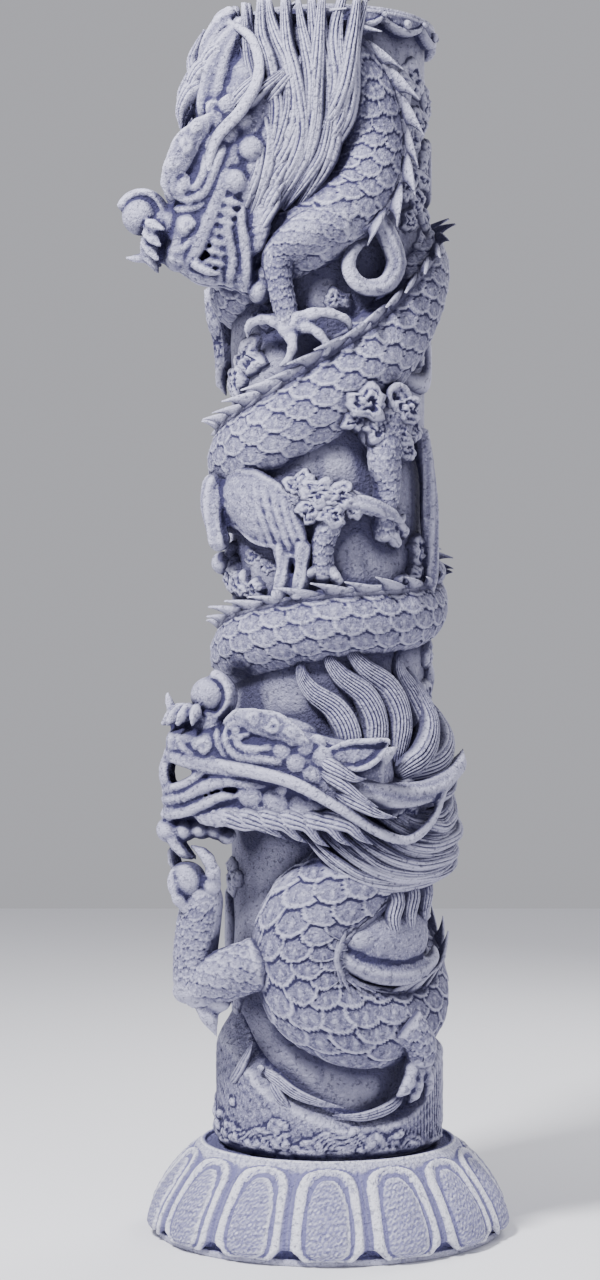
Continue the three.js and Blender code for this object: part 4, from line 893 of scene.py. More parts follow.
# Cloud heads: angle, share, half width in metres, out, spin, and for two of them how deep the curl is
CLOUD_HEADS = [
    # right of the upper neck
    [50, 0.86, 0.04, 0.5, 0.3], [44, 0.935, 0.045, 0.45, 0.3], [47, 0.905, 0.04, 0.45, 0.1],
    [80, 0.93, 0.055, 0.3, 0.3], [82, 0.885, 0.055, 0.3, 0.3], [70, 0.8, 0.045, 0.3, 0.3],
    [45, 0.845, 0.035, 0.5, 0.7], [58, 0.945, 0.06, 0.3, 0.5], [66, 0.91, 0.05, 0.3, -0.6],
    [55, 0.893, 0.04, 0.3, 0.3], [72, 0.865, 0.05, 0.3, 0.9], [62, 0.84, 0.045, 0.3, 0.2],
    [54, 0.82, 0.035, 0.3, -0.4], [75, 0.825, 0.045, 0.3, 0.4],
    # on the hips of the middle legs
    [18, 0.654, 0.052, 1.15, 0.1, 0.8], [39, 0.651, 0.044, 1.1, -0.3, 0.8], [24, 0.633, 0.042, 0.95, 0.2],
    [35, 0.63, 0.045, 0.95, 0.6], [13, 0.64, 0.034, 0.8, 0.9], [29, 0.612, 0.036, 0.9, -0.2],
    [41, 0.617, 0.036, 0.8, 0.5], [48, 0.634, 0.034, 0.7, 0.1], [-14, 0.584, 0.042, 0.7, 0.1],
    [-5, 0.577, 0.045, 0.85, -0.5], [6, 0.574, 0.042, 0.85, 0.5], [-9, 0.562, 0.036, 0.8, -0.2],
    [2, 0.557, 0.036, 0.85, 0.4], [13, 0.565, 0.034, 0.7, 0.2], [-19, 0.572, 0.03, 0.6, 0.8],
    # rocks and clouds along the middle coil
    [62, 0.53, 0.045, 0.45, 0.4], [74, 0.515, 0.06, 0.4, -0.3], [58, 0.507, 0.036, 0.45, 0.2],
    [48, 0.497, 0.036, 0.35, -0.6], [70, 0.497, 0.04, 0.4, 0.8], [-70, 0.508, 0.05, 0.45, 0.4],
    [-58, 0.5, 0.042, 0.45, -0.2], [-78, 0.525, 0.045, 0.4, 0.7], [-46, 0.494, 0.036, 0.35, 0.3],
    [-50, 0.525, 0.04, 0.15, 0.5], [-38, 0.515, 0.034, 0.15, 0.1], [-52, 0.7, 0.06, 0.35, 0.2],
    [-66, 0.68, 0.055, 0.35, -0.5], [-38, 0.735, 0.045, 0.3, 0.6], [5, 0.745, 0.036, 0.3, 0.2],
    [60, 0.38, 0.045, 0.35, 0.1], [74, 0.4, 0.055, 0.35, -0.4], [84, 0.44, 0.05, 0.35, 0.5],
    [-62, 0.44, 0.045, 0.3, 0.3],
    # round the back
    [104, 0.62, 0.08, 0.3, 0.2], [128, 0.6, 0.07, 0.3, -0.4], [150, 0.655, 0.075, 0.3, 0.5],
    [196, 0.6, 0.08, 0.3, 0.1], [226, 0.64, 0.07, 0.3, -0.3], [250, 0.56, 0.07, 0.3, 0.4],
    [118, 0.93, 0.075, 0.3, -0.2], [146, 0.9, 0.07, 0.3, 0.4], [200, 0.93, 0.08, 0.3, 0.1],
    [228, 0.87, 0.065, 0.3, -0.5], [262, 0.86, 0.07, 0.3, 0.3], [275, 0.95, 0.07, 0.3, -0.2],
    [110, 0.4, 0.075, 0.3, 0.3], [250, 0.4, 0.07, 0.3, -0.3], [270, 0.31, 0.07, 0.3, 0.2],
    [290, 0.14, 0.065, 0.3, -0.4], [245, 0.13, 0.07, 0.3, 0.3], [130, 0.11, 0.065, 0.3, 0.1],
    [100, 0.21, 0.07, 0.3, -0.2], [120, 0.3, 0.07, 0.3, 0.4], [205, 0.12, 0.065, 0.3, -0.1],
    [284, 0.24, 0.06, 0.3, 0.5], [180, 0.48, 0.07, 0.3, 0.2], [215, 0.5, 0.065, 0.3, -0.4],
]


def sweep(carving, rows, sides, rings, bump=None):
    stations, wide, high = rows_on_shaft(rows)
    carving.tube(stations, wide, high, outward, sides, rings, bump)


def boss(carving, angle, share, out, round_, high, deep, sides=32, steps=20):
    at = on_shaft(angle, share, out)
    normal = outward(at)
    axes = np.stack([np.cross(UP, normal), UP, normal])
    carving.ball(at, axes, np.array([round_, high, deep]) * DEPTH, sides, steps)


def spiral(carving, angle, share, out, radius, hand=1):
    """A raised coil on the shaft, such as a hip's curl; radius in relief depths."""
    turns, thick = 1.6, 0.14
    rows = []
    for k in range(13):
        w = k / 12
        a = -math.pi / 2 + hand * 2 * math.pi * turns * w
        reach = radius * (1 - 0.82 * w)
        rows.append([angle + math.degrees(reach * DEPTH * math.cos(a) / (COIL_RADIUS + out * DEPTH)),
                     share + reach * DEPTH * math.sin(a) / SHAFT_HEIGHT, out, thick * (1 - 0.4 * w)])
    sweep(carving, rows, 8, 48)


def channel(t, a):
    """A flat band with a line along its outer face."""
    return 0.18 * np.cos(2 * a) - 0.12 * np.exp(-((np.sin(a) - 1) / 0.08) ** 2)


def cloud(carving, angle, share, size, hand):
    """A scroll of cloud: a grooved band that comes in from its tail and curls round on itself."""
    rows = [[3.4, -1.15, 0.16], [2.2, -0.85, 0.24]]
    for k in range(9):
        w = k / 8
        a = -math.pi * (0.5 + 2 * 0.95 * w)
        reach = 1 - 0.72 * w
        rows.append([math.cos(a) * reach, math.sin(a) * reach, 0.32 - 0.1 * w])
    stations = []
    for x, y, wide in rows:
        degrees = angle + hand * math.degrees(x * size / GROUND_RADIUS)
        stations.append([degrees, share + y * size / SHAFT_HEIGHT, 0.3, wide * size / DEPTH, 0.3])
    sweep(carving, stations, 14, 56, channel)


def cloud_head(carving, angle, share, size, out=0.35, spin=0.0, curl=0.35, seed=0):
    """A flat cloud with a lobed, broken edge and a curl cut into it; size is its half width in metres."""
    noise = np.random.default_rng(100 + seed)
    a = np.linspace(0, 2 * np.pi, 35)[None, :-1]
    rho = np.linspace(0.04, 1, 11)[:, None]
    p1, p2, p3, p4 = noise.uniform(0, 6.28, 4)
    edge = 1 + 0.16 * np.sin(3 * a + p1) + 0.12 * np.sin(5 * a + p2)
    edge = edge + 0.1 * np.abs(np.sin(4.5 * a + p3)) + 0.06 * np.sin(11 * a + p4)
    hand = 1 if seed % 2 else -1
    swirl = np.cos(2 * np.pi * 1.9 * rho - hand * a + spin) * smooth(0.9, 0.6, rho)
    px, py = 40 * rho * np.cos(a) * size / 0.05, 40 * rho * np.sin(a) * size / 0.05
    rough = 0.05 * ripple(px * 0.22, py * 0.22, seed) + 0.03 * ripple(px * 0.5, py * 0.5, seed + 1)
    top = 0.34 * np.sqrt(1 - 0.75 * rho**4) + 0.055 * curl * swirl + rough
    reach = np.concatenate([rho * edge, (rho * edge)[::-1][::5] * 0.93])
    height = np.concatenate([top, 0 * top[::-1][::5] - 0.35])
    x, y = reach * np.cos(a + spin) * size, reach * np.sin(a + spin) * size * 0.86
    degrees = angle + np.degrees(x / (COIL_RADIUS + out * DEPTH))
    carving.capped(on_shaft(degrees, share + y / SHAFT_HEIGHT, out + height - 0.15))


def draped(carving):
    """The robed figure's cape, spread over the shoulders and falling in folds."""
    u = np.linspace(0, 1, 90)[None, :]
    v = np.linspace(0, 1, 60)[:, None]
    knots = np.linspace(0, 1, 6)
    angle = np.interp(u, knots, [-76, -64, -52, -38, -25, -14])
    top = np.interp(u, knots, [0.580, 0.598, 0.604, 0.600, 0.587, 0.568])
    hem = np.interp(u, knots, [0.548, 0.556, 0.545, 0.534, 0.526, 0.524]) - 0.004 * np.abs(np.sin(9 * u))
    share = top + (hem - top) * v
    pleat = 0.026 * np.cos(82 * (u - 0.5) - 9 * v) * smooth(0.5, 0.66, u) * smooth(0.08, 0.35, v)
    collar = 0.06 * np.exp(-(((v - 0.06) / 0.035) ** 2))
    pleat = pleat + collar + 0.012 * np.sin(23 * u + 9 * v) * np.sin(31 * v - 7 * u)
    down, round_ = np.sin(np.pi * np.clip(0.12 + 0.8 * v, 0, 1)), np.sin(np.pi * (0.08 + 0.84 * u))
    out = 0.45 + 0.62 * down**0.7 * round_**0.6 + pleat + 0.08 * smooth(0.93, 0.98, v)
    front = on_shaft(angle + 5 * v * u, share, out)
    back = on_shaft(angle + 5 * v * u, share, np.maximum(out - 0.16, 0.05))[:, ::-1]
    carving.capped(np.concatenate([front, back], axis=1))


def wrapped(angles, heights, radius):
    a = np.radians(angles)
    return np.stack([radius * np.sin(a), -radius * np.cos(a), heights + 0 * radius], axis=-1)


def ripple(x, y, seed):
    """Slow waves without a pattern, from -1 to 1."""
    noise = np.random.default_rng(seed)
    total = 0 * x
    for _ in range(7):
        kx, ky, phase = noise.uniform(-1, 1), noise.uniform(-1, 1), noise.uniform(0, 6.28)
        total = total + np.sin(kx * x + ky * y + phase)
    return total / 4


def ground():
    """The chiselled stone between the carvings."""
    angles = np.linspace(0, 360, 100, endpoint=False)[None, :]
    heights = (FOOT_Z + np.linspace(0.02, 1, 170) * SHAFT_HEIGHT)[:, None]
    x, y = np.radians(angles) * GROUND_RADIUS * 1000, heights * 1000
    chisel = 1.2 * ripple(x * 0.16, y * 0.07, 3) * ripple(x * 0.02, y * 0.02, 9)
    radius = GROUND_RADIUS + (chisel + 2.2 * ripple(x * 0.045, y * 0.03, 4) - 2.0) / 1000
    carving = Carving()
    carving.capped(wrapped(angles, heights, radius))
    return carving


def foot_relief():
    """Waves, heaped rocks and falling water round the drum under the shaft."""
    angles = np.linspace(-180, 180, 350, endpoint=False)[None, :]
    heights = (0.4 * np.linspace(0, 1, 66) ** 1.25)[:, None]
    left = np.exp(-(((angles + 72) / 42) ** 2))
    right = np.exp(-(((angles - 84) / 26) ** 2))
    drum = 0.075 + 0.2 * left + 0.17 * right + 0.012 * ripple(angles * 0.12, 0 * angles, 31)
    narrowing = smooth(drum, drum + 0.07 + 0.05 * left, heights)
    depth = FOOT_RADIUS - (FOOT_RADIUS - GROUND_RADIUS + 0.008) * narrowing
    edge = 0.02 * smooth(0.03, 0.0, heights) ** 2
    x, y = np.radians(angles) * 300, heights * 1000
    lift = 0 * (x + y)
    bent, skewed = 7 * ripple(x * 0.09, y * 0.09, 61), 7 * ripple(x * 0.1, y * 0.1, 62)
    noise = np.random.default_rng(11)
    for k in range(150):
        centre, low = noise.uniform(-180, 180), abs(noise.normal(0, 30))
        near = math.exp(-(((centre + 80) / 26) ** 2))
        low = low + near * noise.uniform(0, 90)
        size = noise.uniform(11, 26)
        away = np.radians((angles - centre + 180) % 360 - 180) * 300 + bent
        wide, tall = noise.uniform(0.8, 1.7), noise.uniform(0.6, 1.1)
        distance = np.hypot(away / wide, (y + skewed - low) / tall) / size
        rough = 1 + 0.35 * ripple(x * 0.2, y * 0.2, k)
        lump = noise.uniform(4, 9) * np.clip(1 - distance**3, 0, 1) ** 0.6 * rough
        lift = np.maximum(lift, lump)
    warp = 5 * ripple(x * 0.03, y * 0.03, 77)
    for k in range(9):
        centre, low = -180 + k * 40 + noise.uniform(-14, 14), noise.uniform(15, 45)
        size = noise.uniform(55, 90)
        away = np.radians((angles - centre + 180) % 360 - 180) * 290
        distance = np.hypot(away, (y - low) * 1.5) + warp
        fan = (3.0 + 1.3 * np.sin(distance * 0.5)) * smooth(size, size - 12, distance) * (y > low)
        lift = np.maximum(lift, fan)
    fall = (4.5 + 3.5 * np.sin(x * 0.42 + 0.6 * ripple(x * 0.05, y * 0.02, 5))) * right * smooth(20, 60, y)
    lift = np.maximum(lift, fall)
    grain = 0.9 * ripple(x * 0.24, y * 0.24, 8) + 0.7 * ripple(x * 0.45, y * 0.45, 18)
    fade = 1 - smooth(0.3, 0.39, heights)
    radius = depth - edge + (lift + grain) * fade / 1000
    carving = Carving()
    carving.capped(wrapped(angles, FOOT_Z + 0.0002 + heights, radius))
    # the leaping fish in the waves, and the crest of a wave behind it
    for rows, count in (
        ([[-36, 0.076, 0.62], [-27, 0.07, 0.74], [-17, 0.059, 0.74], [-5, 0.051, 0.7], [8, 0.046, 0.66]], 5),
        ([[-30, 0.068, 0.7], [-25, 0.055, 0.76], [-18, 0.044, 0.74]], 4),
        ([[44, 0.06, 0.7], [33, 0.045, 0.72], [17, 0.038, 0.72], [2, 0.04, 0.7]], 4),
        ([[-60, 0.06, 0.72], [-52, 0.07, 0.78], [-46, 0.084, 0.78], [-42, 0.1, 0.7]], 3),
        ([[128, 0.05, 0.7], [140, 0.07, 0.7], [160, 0.075, 0.7], [182, 0.06, 0.7]], 5),
        ([[235, 0.05, 0.7], [222, 0.068, 0.7], [205, 0.075, 0.7], [190, 0.06, 0.7]], 5),
    ):
        strands(carving, rows, 0.19, 0.13, count, 34, 0.1, 0.4)
    boss(carving, -36, 0.078, 0.74, 0.13, 0.1, 0.1, 18, 12)
    return carving


def collar_band():
    """The cloud band round the top: scallops with a rim, a stud in each and a bead between."""
    count = 12
    angles = np.linspace(0, 360, 336, endpoint=False)[None, :]
    drops = np.linspace(0, 0.085, 26)[:, None]
    phase = (angles / 360 * count) % 1
    edge = 0.03 + 0.03 * np.abs(np.sin(np.pi * phase)) ** 0.6
    inside = smooth(0.004, -0.002, drops - edge)
    rim = 0.005 * smooth(0.009, 0.004, np.abs(drops - edge + 0.009))
    line = 0.003 * smooth(0.004, 0.001, np.abs(drops - 0.012))
    grain = 0.0006 * ripple(angles * 0.9, drops * 400, 5)
    radius = GROUND_RADIUS - 0.004 + inside * (0.03 + rim + line) + grain
    carving = Carving()
    carving.capped(wrapped(angles, TOP_Z - 0.0005 - drops[::-1], radius[::-1]))
    for k in range(count):
        angle, share = (k + 0.5) * 360 / count, 1 - 0.034 / SHAFT_HEIGHT
        boss(carving, angle, share, 0.68, 0.15, 0.15, 0.14, 14, 8)
        boss(carving, k * 360 / count, 1 - 0.02 / SHAFT_HEIGHT, 0.68, 0.1, 0.1, 0.1, 10, 6)
    return carving


PETALS = 14
# Extra painted shade and darker mottle for a piece's vertices, by the piece's name
SHADE_AND_MOTTLE = {}


def lotus():
    """The turned-down lotus: broad petals with a cushion each, narrow ones between, on a thin slab."""
    angles = np.linspace(0, 360, PETALS * 32, endpoint=False)[None, :]
    down = np.linspace(0, 1, 60)[:, None]
    profile_r = np.array([0.3465, 0.36, 0.378, 0.4, 0.421, 0.441, 0.459, 0.474, 0.482, 0.478, 0.468])
    profile_z = np.array([0.2365, 0.226, 0.208, 0.182, 0.155, 0.126, 0.096, 0.064, 0.036, 0.02, 0.016])
    knots = np.linspace(0, 1, len(profile_r))
    r, z = np.interp(down, knots, profile_r), np.interp(down, knots, profile_z)
    slope_r, slope_z = np.gradient(r[:, 0]), np.gradient(z[:, 0])
    size = np.hypot(slope_r, slope_z)
    out_r, out_z = (-slope_z / size)[:, None], (slope_r / size)[:, None]
    turn = (angles / 360 * PETALS + 0.5) % 1
    u = (turn - 0.5) * 2
    x, y = np.radians(angles) * 450, down * 300
    # a broad petal: a wide rim round an egg-shaped cushion
    shoulder = np.sqrt(np.clip(1 - (np.clip(0.34 - down, 0, 1) / 0.24) ** 2.4, 0, 1))
    point = np.sqrt(np.clip(1 - (np.clip(down - 0.74, 0, 1) / 0.27) ** 2.4, 0, 1))
    half = 0.92 * np.minimum(shoulder, point)
    side = half - np.abs(u)
    petal = smooth(-0.01, 0.06, side)
    rim = np.sqrt(np.clip(1 - ((np.clip(side, 0, 0.34) - 0.17) / 0.17) ** 2, 0, 1))
    egg = ((np.abs(u) / (0.5 + 0.12 * down)) ** 2.5 + (np.abs(down - 0.57) / 0.35) ** 2.5) ** 0.4
    cushion = np.sqrt(np.clip(1 - egg**2.4, 0, 1))
    line = smooth(0.16, 0.0, np.abs(egg - 1.06))
    hammered = 1.0 * ripple(x * 0.5, y * 0.5, 41) + 0.8 * ripple(x * 0.9, y * 0.9, 42)
    broad = 7 * petal + 5 * rim * (egg > 0.98) + 12 * cushion + cushion * hammered - 3.5 * line
    # a narrow petal in each gap
    gap_u = 1 - np.abs(u)
    narrow_half = 0.1 * np.minimum(smooth(0.15, 0.4, down), 1 - 0.75 * smooth(0.82, 1.0, down)) + 0.001
    narrow_side = 1 - gap_u / narrow_half
    narrow = np.sqrt(np.clip(1 - (1 - np.clip(narrow_side, 0, 1)) ** 2, 0, 1))
    groove = smooth(0.0, 0.09, gap_u - narrow_half + 0.07)
    lift = np.maximum(broad * petal, 5 * narrow - 6 * groove * (1 - petal)) - 6
    lift = lift * smooth(0.06, 0.17, down) + 0.5 * ripple(x * 0.3, y * 0.3, 43)
    drawn = smooth(0.72, 1.0, down) * smooth(0.5, 1.0, np.abs(u))
    radius = r + out_r * lift / 1000 - 0.022 * drawn
    height = z + out_z * lift / 1000 + 0.026 * drawn
    sheet = wrapped(angles, 0, radius)
    sheet[..., 2] = np.maximum(height, 0.014)

    def ring_at(radius, height):
        points = wrapped(angles, 0, np.full_like(angles, radius))
        points[..., 2] = height
        return points

    inner_z = PLINTH_TOP[2] - 0.01
    rows = [ring_at(0.02, inner_z), ring_at(0.3318, inner_z), ring_at(0.3322, inner_z + 0.002),
            ring_at(0.3325, inner_z + 0.0085), ring_at(0.3345, inner_z + 0.0098),
            ring_at(0.3405, inner_z + 0.0098),
            ring_at(0.343, inner_z + 0.0085), ring_at(0.345, inner_z + 0.006), sheet, ring_at(0.452, 0.0175),
            ring_at(0.464, 0.0172), ring_at(0.466, 0.0155), ring_at(0.466, 0.0018), ring_at(0.464, 0.0003),
            ring_at(0.02, 0.0003)]
    carving = Carving()
    carving.capped(np.concatenate(rows, axis=0))
    # Painted shade in the grooves between the broad petals, a darker stipple over the cushions and a mottled
    # darker band at the petals' tops
    stipple = smooth(0.1, 0.6, cushion) * (0.5 + 0.5 * ripple(x * 0.7, y * 0.7, 44))
    shade_and_mottle = np.zeros((len(stipple) + 14, stipple.shape[1]))
    shade_and_mottle[8:-6] = 0.7 * stipple + 0.3 * smooth(0.14, 0.1, down) * (0.5 + 0.5 * ripple(x * 0.6, y * 0.6, 45))
    shade_and_mottle[8:-6] += 0.55 * (1 - petal) * smooth(0.1, 0.2, down)
    SHADE_AND_MOTTLE["lotus"] = np.concatenate([shade_and_mottle.ravel(), [0, 0]])
    return carving


def stone(name, dark, base, pale, grain=1.0):
    """Fine-grained stone, speckled and stained in streaks, with painted shade in its creases and recesses
    and pale edges that are partly wear and partly painted highlight.
    """
    material = bpy.data.materials.new(name)
    material.use_nodes = True
    nodes, links = material.node_tree.nodes, material.node_tree.links
    shader = nodes["Principled BSDF"]
    shader.inputs["Specular IOR Level"].default_value = 0.25
    coordinates = nodes.new("ShaderNodeTexCoord")

    def noise(scale, detail, stretch=None):
        node = nodes.new("ShaderNodeTexNoise")
        node.inputs["Scale"].default_value = scale
        node.inputs["Detail"].default_value = detail
        if stretch is None:
            links.new(coordinates.outputs["Object"], node.inputs["Vector"])
        else:
            mapping = nodes.new("ShaderNodeMapping")
            mapping.inputs["Scale"].default_value = stretch
            links.new(coordinates.outputs["Object"], mapping.inputs["Vector"])
            links.new(mapping.outputs[0], node.inputs["Vector"])
        return node.outputs["Fac"]

    def ramp(source, low, high, to_low=0.0, to_high=1.0):
        node = nodes.new("ShaderNodeMapRange")
        node.inputs["From Min"].default_value = low
        node.inputs["From Max"].default_value = high
        node.inputs["To Min"].default_value = to_low
        node.inputs["To Max"].default_value = to_high
        links.new(source, node.inputs["Value"])
        return node.outputs[0]

    def maths(kind, a, b):
        node = nodes.new("ShaderNodeMath")
        node.operation = kind
        for socket, value in zip(node.inputs, (a, b)):
            if isinstance(value, float):
                socket.default_value = value
            else:
                links.new(value, socket)
        return node.outputs[0]

    def mix(amount, a, b):
        node = nodes.new("ShaderNodeMix")
        node.data_type = "RGBA"
        links.new(amount, node.inputs["Factor"])
        for socket, value in ((node.inputs["A"], a), (node.inputs["B"], b)):
            if isinstance(value, tuple):
                socket.default_value = (*value, 1)
            else:
                links.new(value, socket)
        return node.outputs["Result"]

    relief = nodes.new("ShaderNodeAttribute")
    relief.attribute_name = "relief"
    edge = ramp(relief.outputs["Fac"], 0.08, 0.8)
    crease = ramp(relief.outputs["Fac"], -0.03, -0.3)
    cloudy = ramp(noise(5.0, 4), 0.35, 0.7)
    speckle = ramp(noise(190.0, 4), 0.45, 0.62)
    pits = ramp(noise(90.0, 6), 0.58, 0.66)
    streak = ramp(noise(9.0, 5, (1, 1, 0.12)), 0.52, 0.74)
    soft = tuple(b * 0.8 + d * 0.2 for b, d in zip(base, dark))
    light = tuple(b * 0.8 + p * 0.2 for b, p in zip(base, pale))
    colour = mix(cloudy, soft, light)
    colour = mix(maths("MULTIPLY", speckle, 0.3 * grain), colour, dark)
    flecks = ramp(noise(130.0, 5), 0.53, 0.64)
    colour = mix(maths("MULTIPLY", flecks, 0.4), colour, pale)
    colour = mix(maths("MULTIPLY", streak, 0.22), colour, dark)
    # Pale edges: partly wear, partly painted highlight
    colour = mix(maths("MULTIPLY", edge, 0.7), colour, pale)
    # Painted shade in the creases
    colour = mix(maths("MULTIPLY", crease, 0.95), colour, dark)
    colour = mix(maths("MULTIPLY", pits, 0.5), colour, dark)
    # Painted shade in the recesses, from how shut in each vertex is, with each piece's extra painted shade
    # and mottle added
    closed = nodes.new("ShaderNodeAttribute")
    closed.attribute_name = "closed"
    colour = mix(ramp(closed.outputs["Fac"], 0.05, 0.46, 0.0, 0.9), colour, dark)
    links.new(colour, shader.inputs["Base Color"])
    links.new(ramp(noise(60.0, 3), 0.3, 0.7, 0.8, 0.97), shader.inputs["Roughness"])
    bump = nodes.new("ShaderNodeBump")
    bump.inputs["Strength"].default_value = 0.8
    bump.inputs["Distance"].default_value = 0.004 * grain
    height = maths("ADD", noise(230.0, 4), maths("MULTIPLY", noise(120.0, 4), 2.2))
    links.new(maths("SUBTRACT", height, maths("MULTIPLY", pits, 0.8)), bump.inputs["Height"])
    links.new(bump.outputs[0], shader.inputs["Normal"])
    return material


shaft_stone = stone("shaft_stone", (0.024, 0.022, 0.068), (0.185, 0.182, 0.295), (0.58, 0.575, 0.75))
plinth_stone = stone("plinth_stone", (0.17, 0.165, 0.34), (0.70, 0.70, 0.86), (0.86, 0.86, 0.95), 1.4)


def carved(name, mesh):
    """A piece of the shaft."""
    place(name, mesh, "dragon_shaft", "shaft_stone", shaft_stone)


def cut_at_top(mesh):
    """Flattens what would stand over the shaft's top."""
    points = points_of(mesh)
    points[:, 2] = np.minimum(points[:, 2], TOP_Z - 0.0002)
    set_points(mesh, points)
    return mesh


carved("shaft_ground", mesh_of("shaft_ground", ground()))
carved("shaft_foot", mesh_of("shaft_foot", foot_relief()))
carved("shaft_collar", mesh_of("shaft_collar", collar_band()))
place("lotus", mesh_of("lotus", lotus()), "lotus_plinth", "plinth_stone", plinth_stone)

# Rows of scales lie across each body near its head, and along it from there on
coils, upper_path = dragon_body(UPPER_BODY, 0.0061, 0.0135, 58, 44, 37, lambda t: 0 if t < 0.19 else 1, 81)
carved("upper_coils", mesh_of("upper_coils", coils))
coils, lower_path = dragon_body(LOWER_BODY, 0.0054, 0.011, 74, 52, 47, lambda t: 0 if t < 0.4 else 1)
carved("lower_coils", mesh_of("lower_coils", coils))

spines = Carving()
crest(spines, upper_path, 0.02, 0.18, 1, 1)
crest(spines, upper_path, 0.3, 0.93, -1, 1)
crest(spines, lower_path, 0.03, 0.44, 1, 1, 0.05, -0.008)
crest(spines, lower_path, 0.44, 0.86, 1, 1)
carved("crests", mesh_of("crests", spines))

# Each head's name, then angle, share, out, pitch and yaw
for name, seat in (("lower_head", (25.4, 0.338, 1.27, 0, 10)), ("upper_head", (-36, 0.951, 0.88, 75, 0))):
    head = Head(*seat)
    mask(head, name == "upper_head")
    carved(name, cut_at_top(remeshed(name, head.carving, HEAD_VOXEL)))
    carved(name + "_flames", cut_at_top(mesh_of(name + "_flames", head.flames)))

manes = Carving()
for path in LOWER_TUFTS:
    strands(manes, path, 0.43, 0.46, 8, 72, 0.06, 0.6, 1.4)
for path in CHEST_FLAMES:
    strands(manes, path, 0.3, 0.3, 5, 44, 0.05, 0.5, 1.4)
for k, path in enumerate(LOWER_MANE + UPPER_MANE):
    wide = 0.5 if k < len(LOWER_MANE) else 0.66
    hair(manes, [[angle, share, out - 0.3 * (out > 1)] for angle, share, out in path], wide, 0.5, 10 + k)
carved("manes", cut_at_top(mesh_of("manes", manes)))

legs = Carving()
for rows in LEGS:
    dragon_body(rows, 0.0052, 0.01, 38, 27, 24, lambda t: 0, 51, 0.06, legs)
carved("legs", mesh_of("legs", legs))

limbs = Carving()
for rows in BANDS:
    sweep(limbs, rows, 28, 90, lambda t, a: 0.09 * np.cos(6 * (a - np.pi / 2)) * (np.sin(a) > 0))
for rows in TOES:
    sweep(limbs, rows, 18, 36, lambda t, a: 0.1 * np.sin(t * 34) * (t < 0.75))
for rows in HORNS:
    sweep(limbs, rows, 20, 60, lambda t, a: 0.09 * np.sin(a * 5 + t * 9))
for rows in WHISKERS:
    flat = [[angle, share, out - 0.1, wide * 0.8, wide * 0.66] for angle, share, out, wide in rows]
    sweep(limbs, flat, 16, 130, lambda t, a: -0.16 * np.exp(-(((a - np.pi / 2) / 0.3) ** 2)))
for row in LEG_BOSSES:
    boss(limbs, *row)
boss(limbs, *PEARL)
spiral(limbs, 33, 0.66, 1.12, 0.5)
spiral(limbs, 3, 0.567, 0.85, 0.36, hand=-1)
carved("limbs", remeshed("limbs", limbs, LIMB_VOXEL))

robes = Carving()
for rows in FIGURE + [TRUNK]:
    sweep(robes, rows, 24, 60, lambda t, a: 0.1 * np.sin(a * 5 + t * 8) + 0.07 * np.sin(t * 17))
for row in FIGURE_BOSSES:
    boss(robes, *row)
draped(robes)
carved("figure_and_tree", remeshed("figure_and_tree", robes, FIGURE_VOXEL))

clouds = Carving()
for row in SCROLLS:
    cloud(clouds, *row)
for k, row in enumerate(CLOUD_HEADS):
    cloud_head(clouds, *row, seed=k)
carved("clouds", mesh_of("clouds", clouds))

floor_mesh = Carving()
floor_mesh.grid(np.array([[[x, y, -0.0005] for x in (-9, 9)] for y in (-9, 9)], float))
floor = bpy.data.objects.new("floor", mesh_of("floor", floor_mesh))
bpy.context.scene.collection.objects.link(floor)
floor_paint = bpy.data.materials.new("floor_paint")
floor_paint.use_nodes = True
floor_paint.node_tree.nodes["Principled BSDF"].inputs["Base Color"].default_value = (0.8, 0.8, 0.84, 1)
floor_paint.node_tree.nodes["Principled BSDF"].inputs["Roughness"].default_value = 0.9
floor.data.materials.append(floor_paint)


def lamp(name, at, aim, size, power):
    light = bpy.data.lights.new(name, "AREA")
    light.energy = power
    light.size = size
    holder = bpy.data.objects.new(name, light)
    holder.location = at
    to = unit(np.array(aim, float) - np.array(at, float))
    turn = math.atan2(to[1], to[0]) - math.pi / 2
    holder.rotation_euler = (math.acos(-to[2]), 0, turn)
    bpy.context.scene.collection.objects.link(holder)


lamp("key", (-2.6, -3.2, 6.2), (0, 0, 1.4), 1.0, 960)
lamp("fill", (3.6, -4.4, 2.2), (0, 0, 1.5), 3.0, 55)
lamp("back", (2.5, 3.5, 4.0), (0, 0, 1.8), 2.5, 180)

# The side of a cell in the map of solid stone, and how far each vertex looks into it
CELL = 0.011
LOOKS = (0.03, 0.05, 0.075, 0.105)
# Painted shade added on the ground, which lies deepest between the carvings
GROUND_SHADE = 0.12


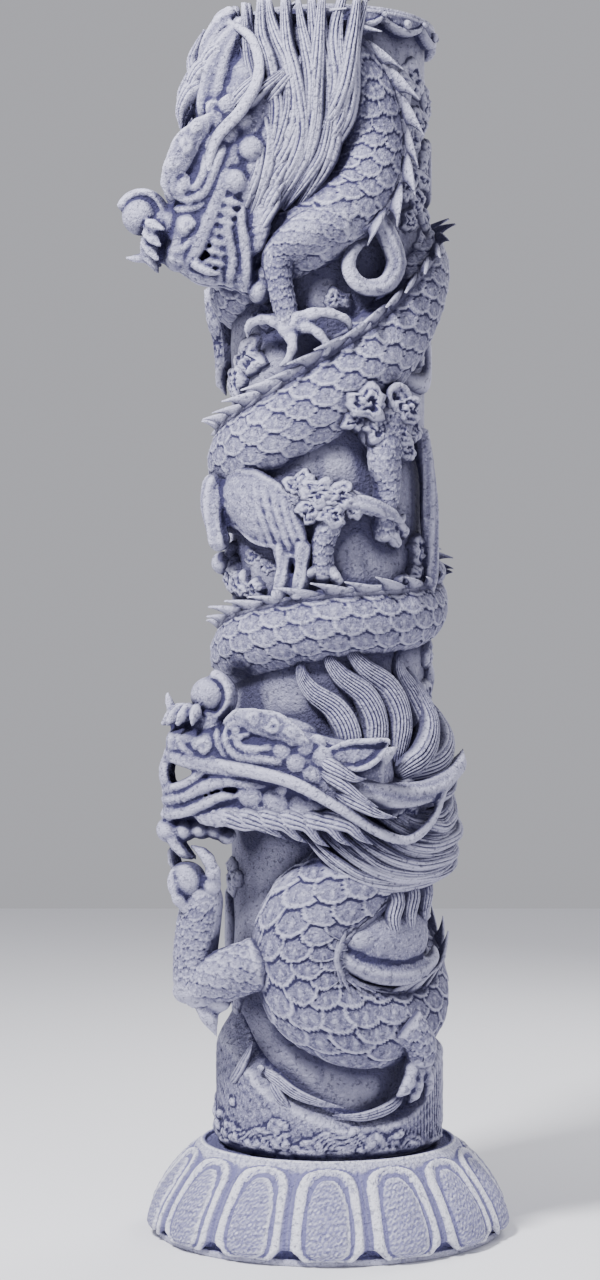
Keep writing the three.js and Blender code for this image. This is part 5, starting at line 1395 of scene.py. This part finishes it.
def stone_cells(stacked):
    """A softened map of the cells that hold stone, and the corner it starts from."""
    corner = stacked.min(axis=0) - 8 * CELL
    shape = tuple(np.ceil((stacked.max(axis=0) + 8 * CELL - corner) / CELL).astype(int))
    cells = np.zeros(shape, np.float32)
    cells[tuple(((stacked - corner) / CELL).astype(int).T)] = 1
    x = corner[0] + (np.arange(shape[0]) + 0.5) * CELL
    y = corner[1] + (np.arange(shape[1]) + 0.5) * CELL
    cells[np.hypot(x[:, None], y[None]) < GROUND_RADIUS - 0.012] = 1
    for axis in range(3):
        for _ in range(2):
            cells = 0.5 * cells + 0.25 * (np.roll(cells, 1, axis) + np.roll(cells, -1, axis))
    return cells, corner


def shade_recesses():
    """Writes how shut in each vertex is, from 0 in the open to 1 deep between the carvings, for the painted
    shade in the recesses.
    """
    all_points = [points_of(piece.data) for piece in pieces]
    cells, corner = stone_cells(np.vstack(all_points))
    for piece, points in zip(pieces, all_points):
        normals = normals_of(piece.data)
        lean = unit(normals + 0.55 * UP)
        closed = np.zeros(len(points))
        for reach in LOOKS:
            for way in (normals, lean):
                spot = ((points + way * reach - corner) / CELL).astype(int)
                spot = np.clip(spot, 0, np.array(cells.shape) - 1)
                closed += cells[tuple(spot.T)] / (2 * len(LOOKS))
        closed = np.clip(closed * 2.6, 0, 1)[:, None]
        links = neighbours(piece.data)
        for _ in range(3):
            closed = averaged(closed, links)
        # Adds the piece's extra painted shade and mottle
        closed[:, 0] += SHADE_AND_MOTTLE.get(piece.name, 0)
        # Extra painted shade on the deep ground between the carvings
        if piece.name == "shaft_ground":
            closed = np.clip(closed + GROUND_SHADE, 0, 1)
        layer = piece.data.attributes.new("closed", "FLOAT", "POINT")
        layer.data.foreach_set("value", closed[:, 0].astype(np.float32))


shade_recesses()

world = bpy.data.worlds.new("sky")
bpy.context.scene.world = world
world.use_nodes = True
world.node_tree.nodes["Background"].inputs["Color"].default_value = (0.93, 0.93, 1.0, 1)
world.node_tree.nodes["Background"].inputs["Strength"].default_value = 0.5

camera = bpy.data.cameras.new("camera")
camera.sensor_fit = "VERTICAL"
camera.sensor_height = 36
camera.lens = 69.6
camera.shift_x = -0.022
camera.shift_y = 0.025
holder = bpy.data.objects.new("camera", camera)
holder.location = (0, -6.7, 1.5)
holder.rotation_euler = (math.pi / 2, 0, 0)
bpy.context.scene.collection.objects.link(holder)
bpy.context.scene.camera = holder
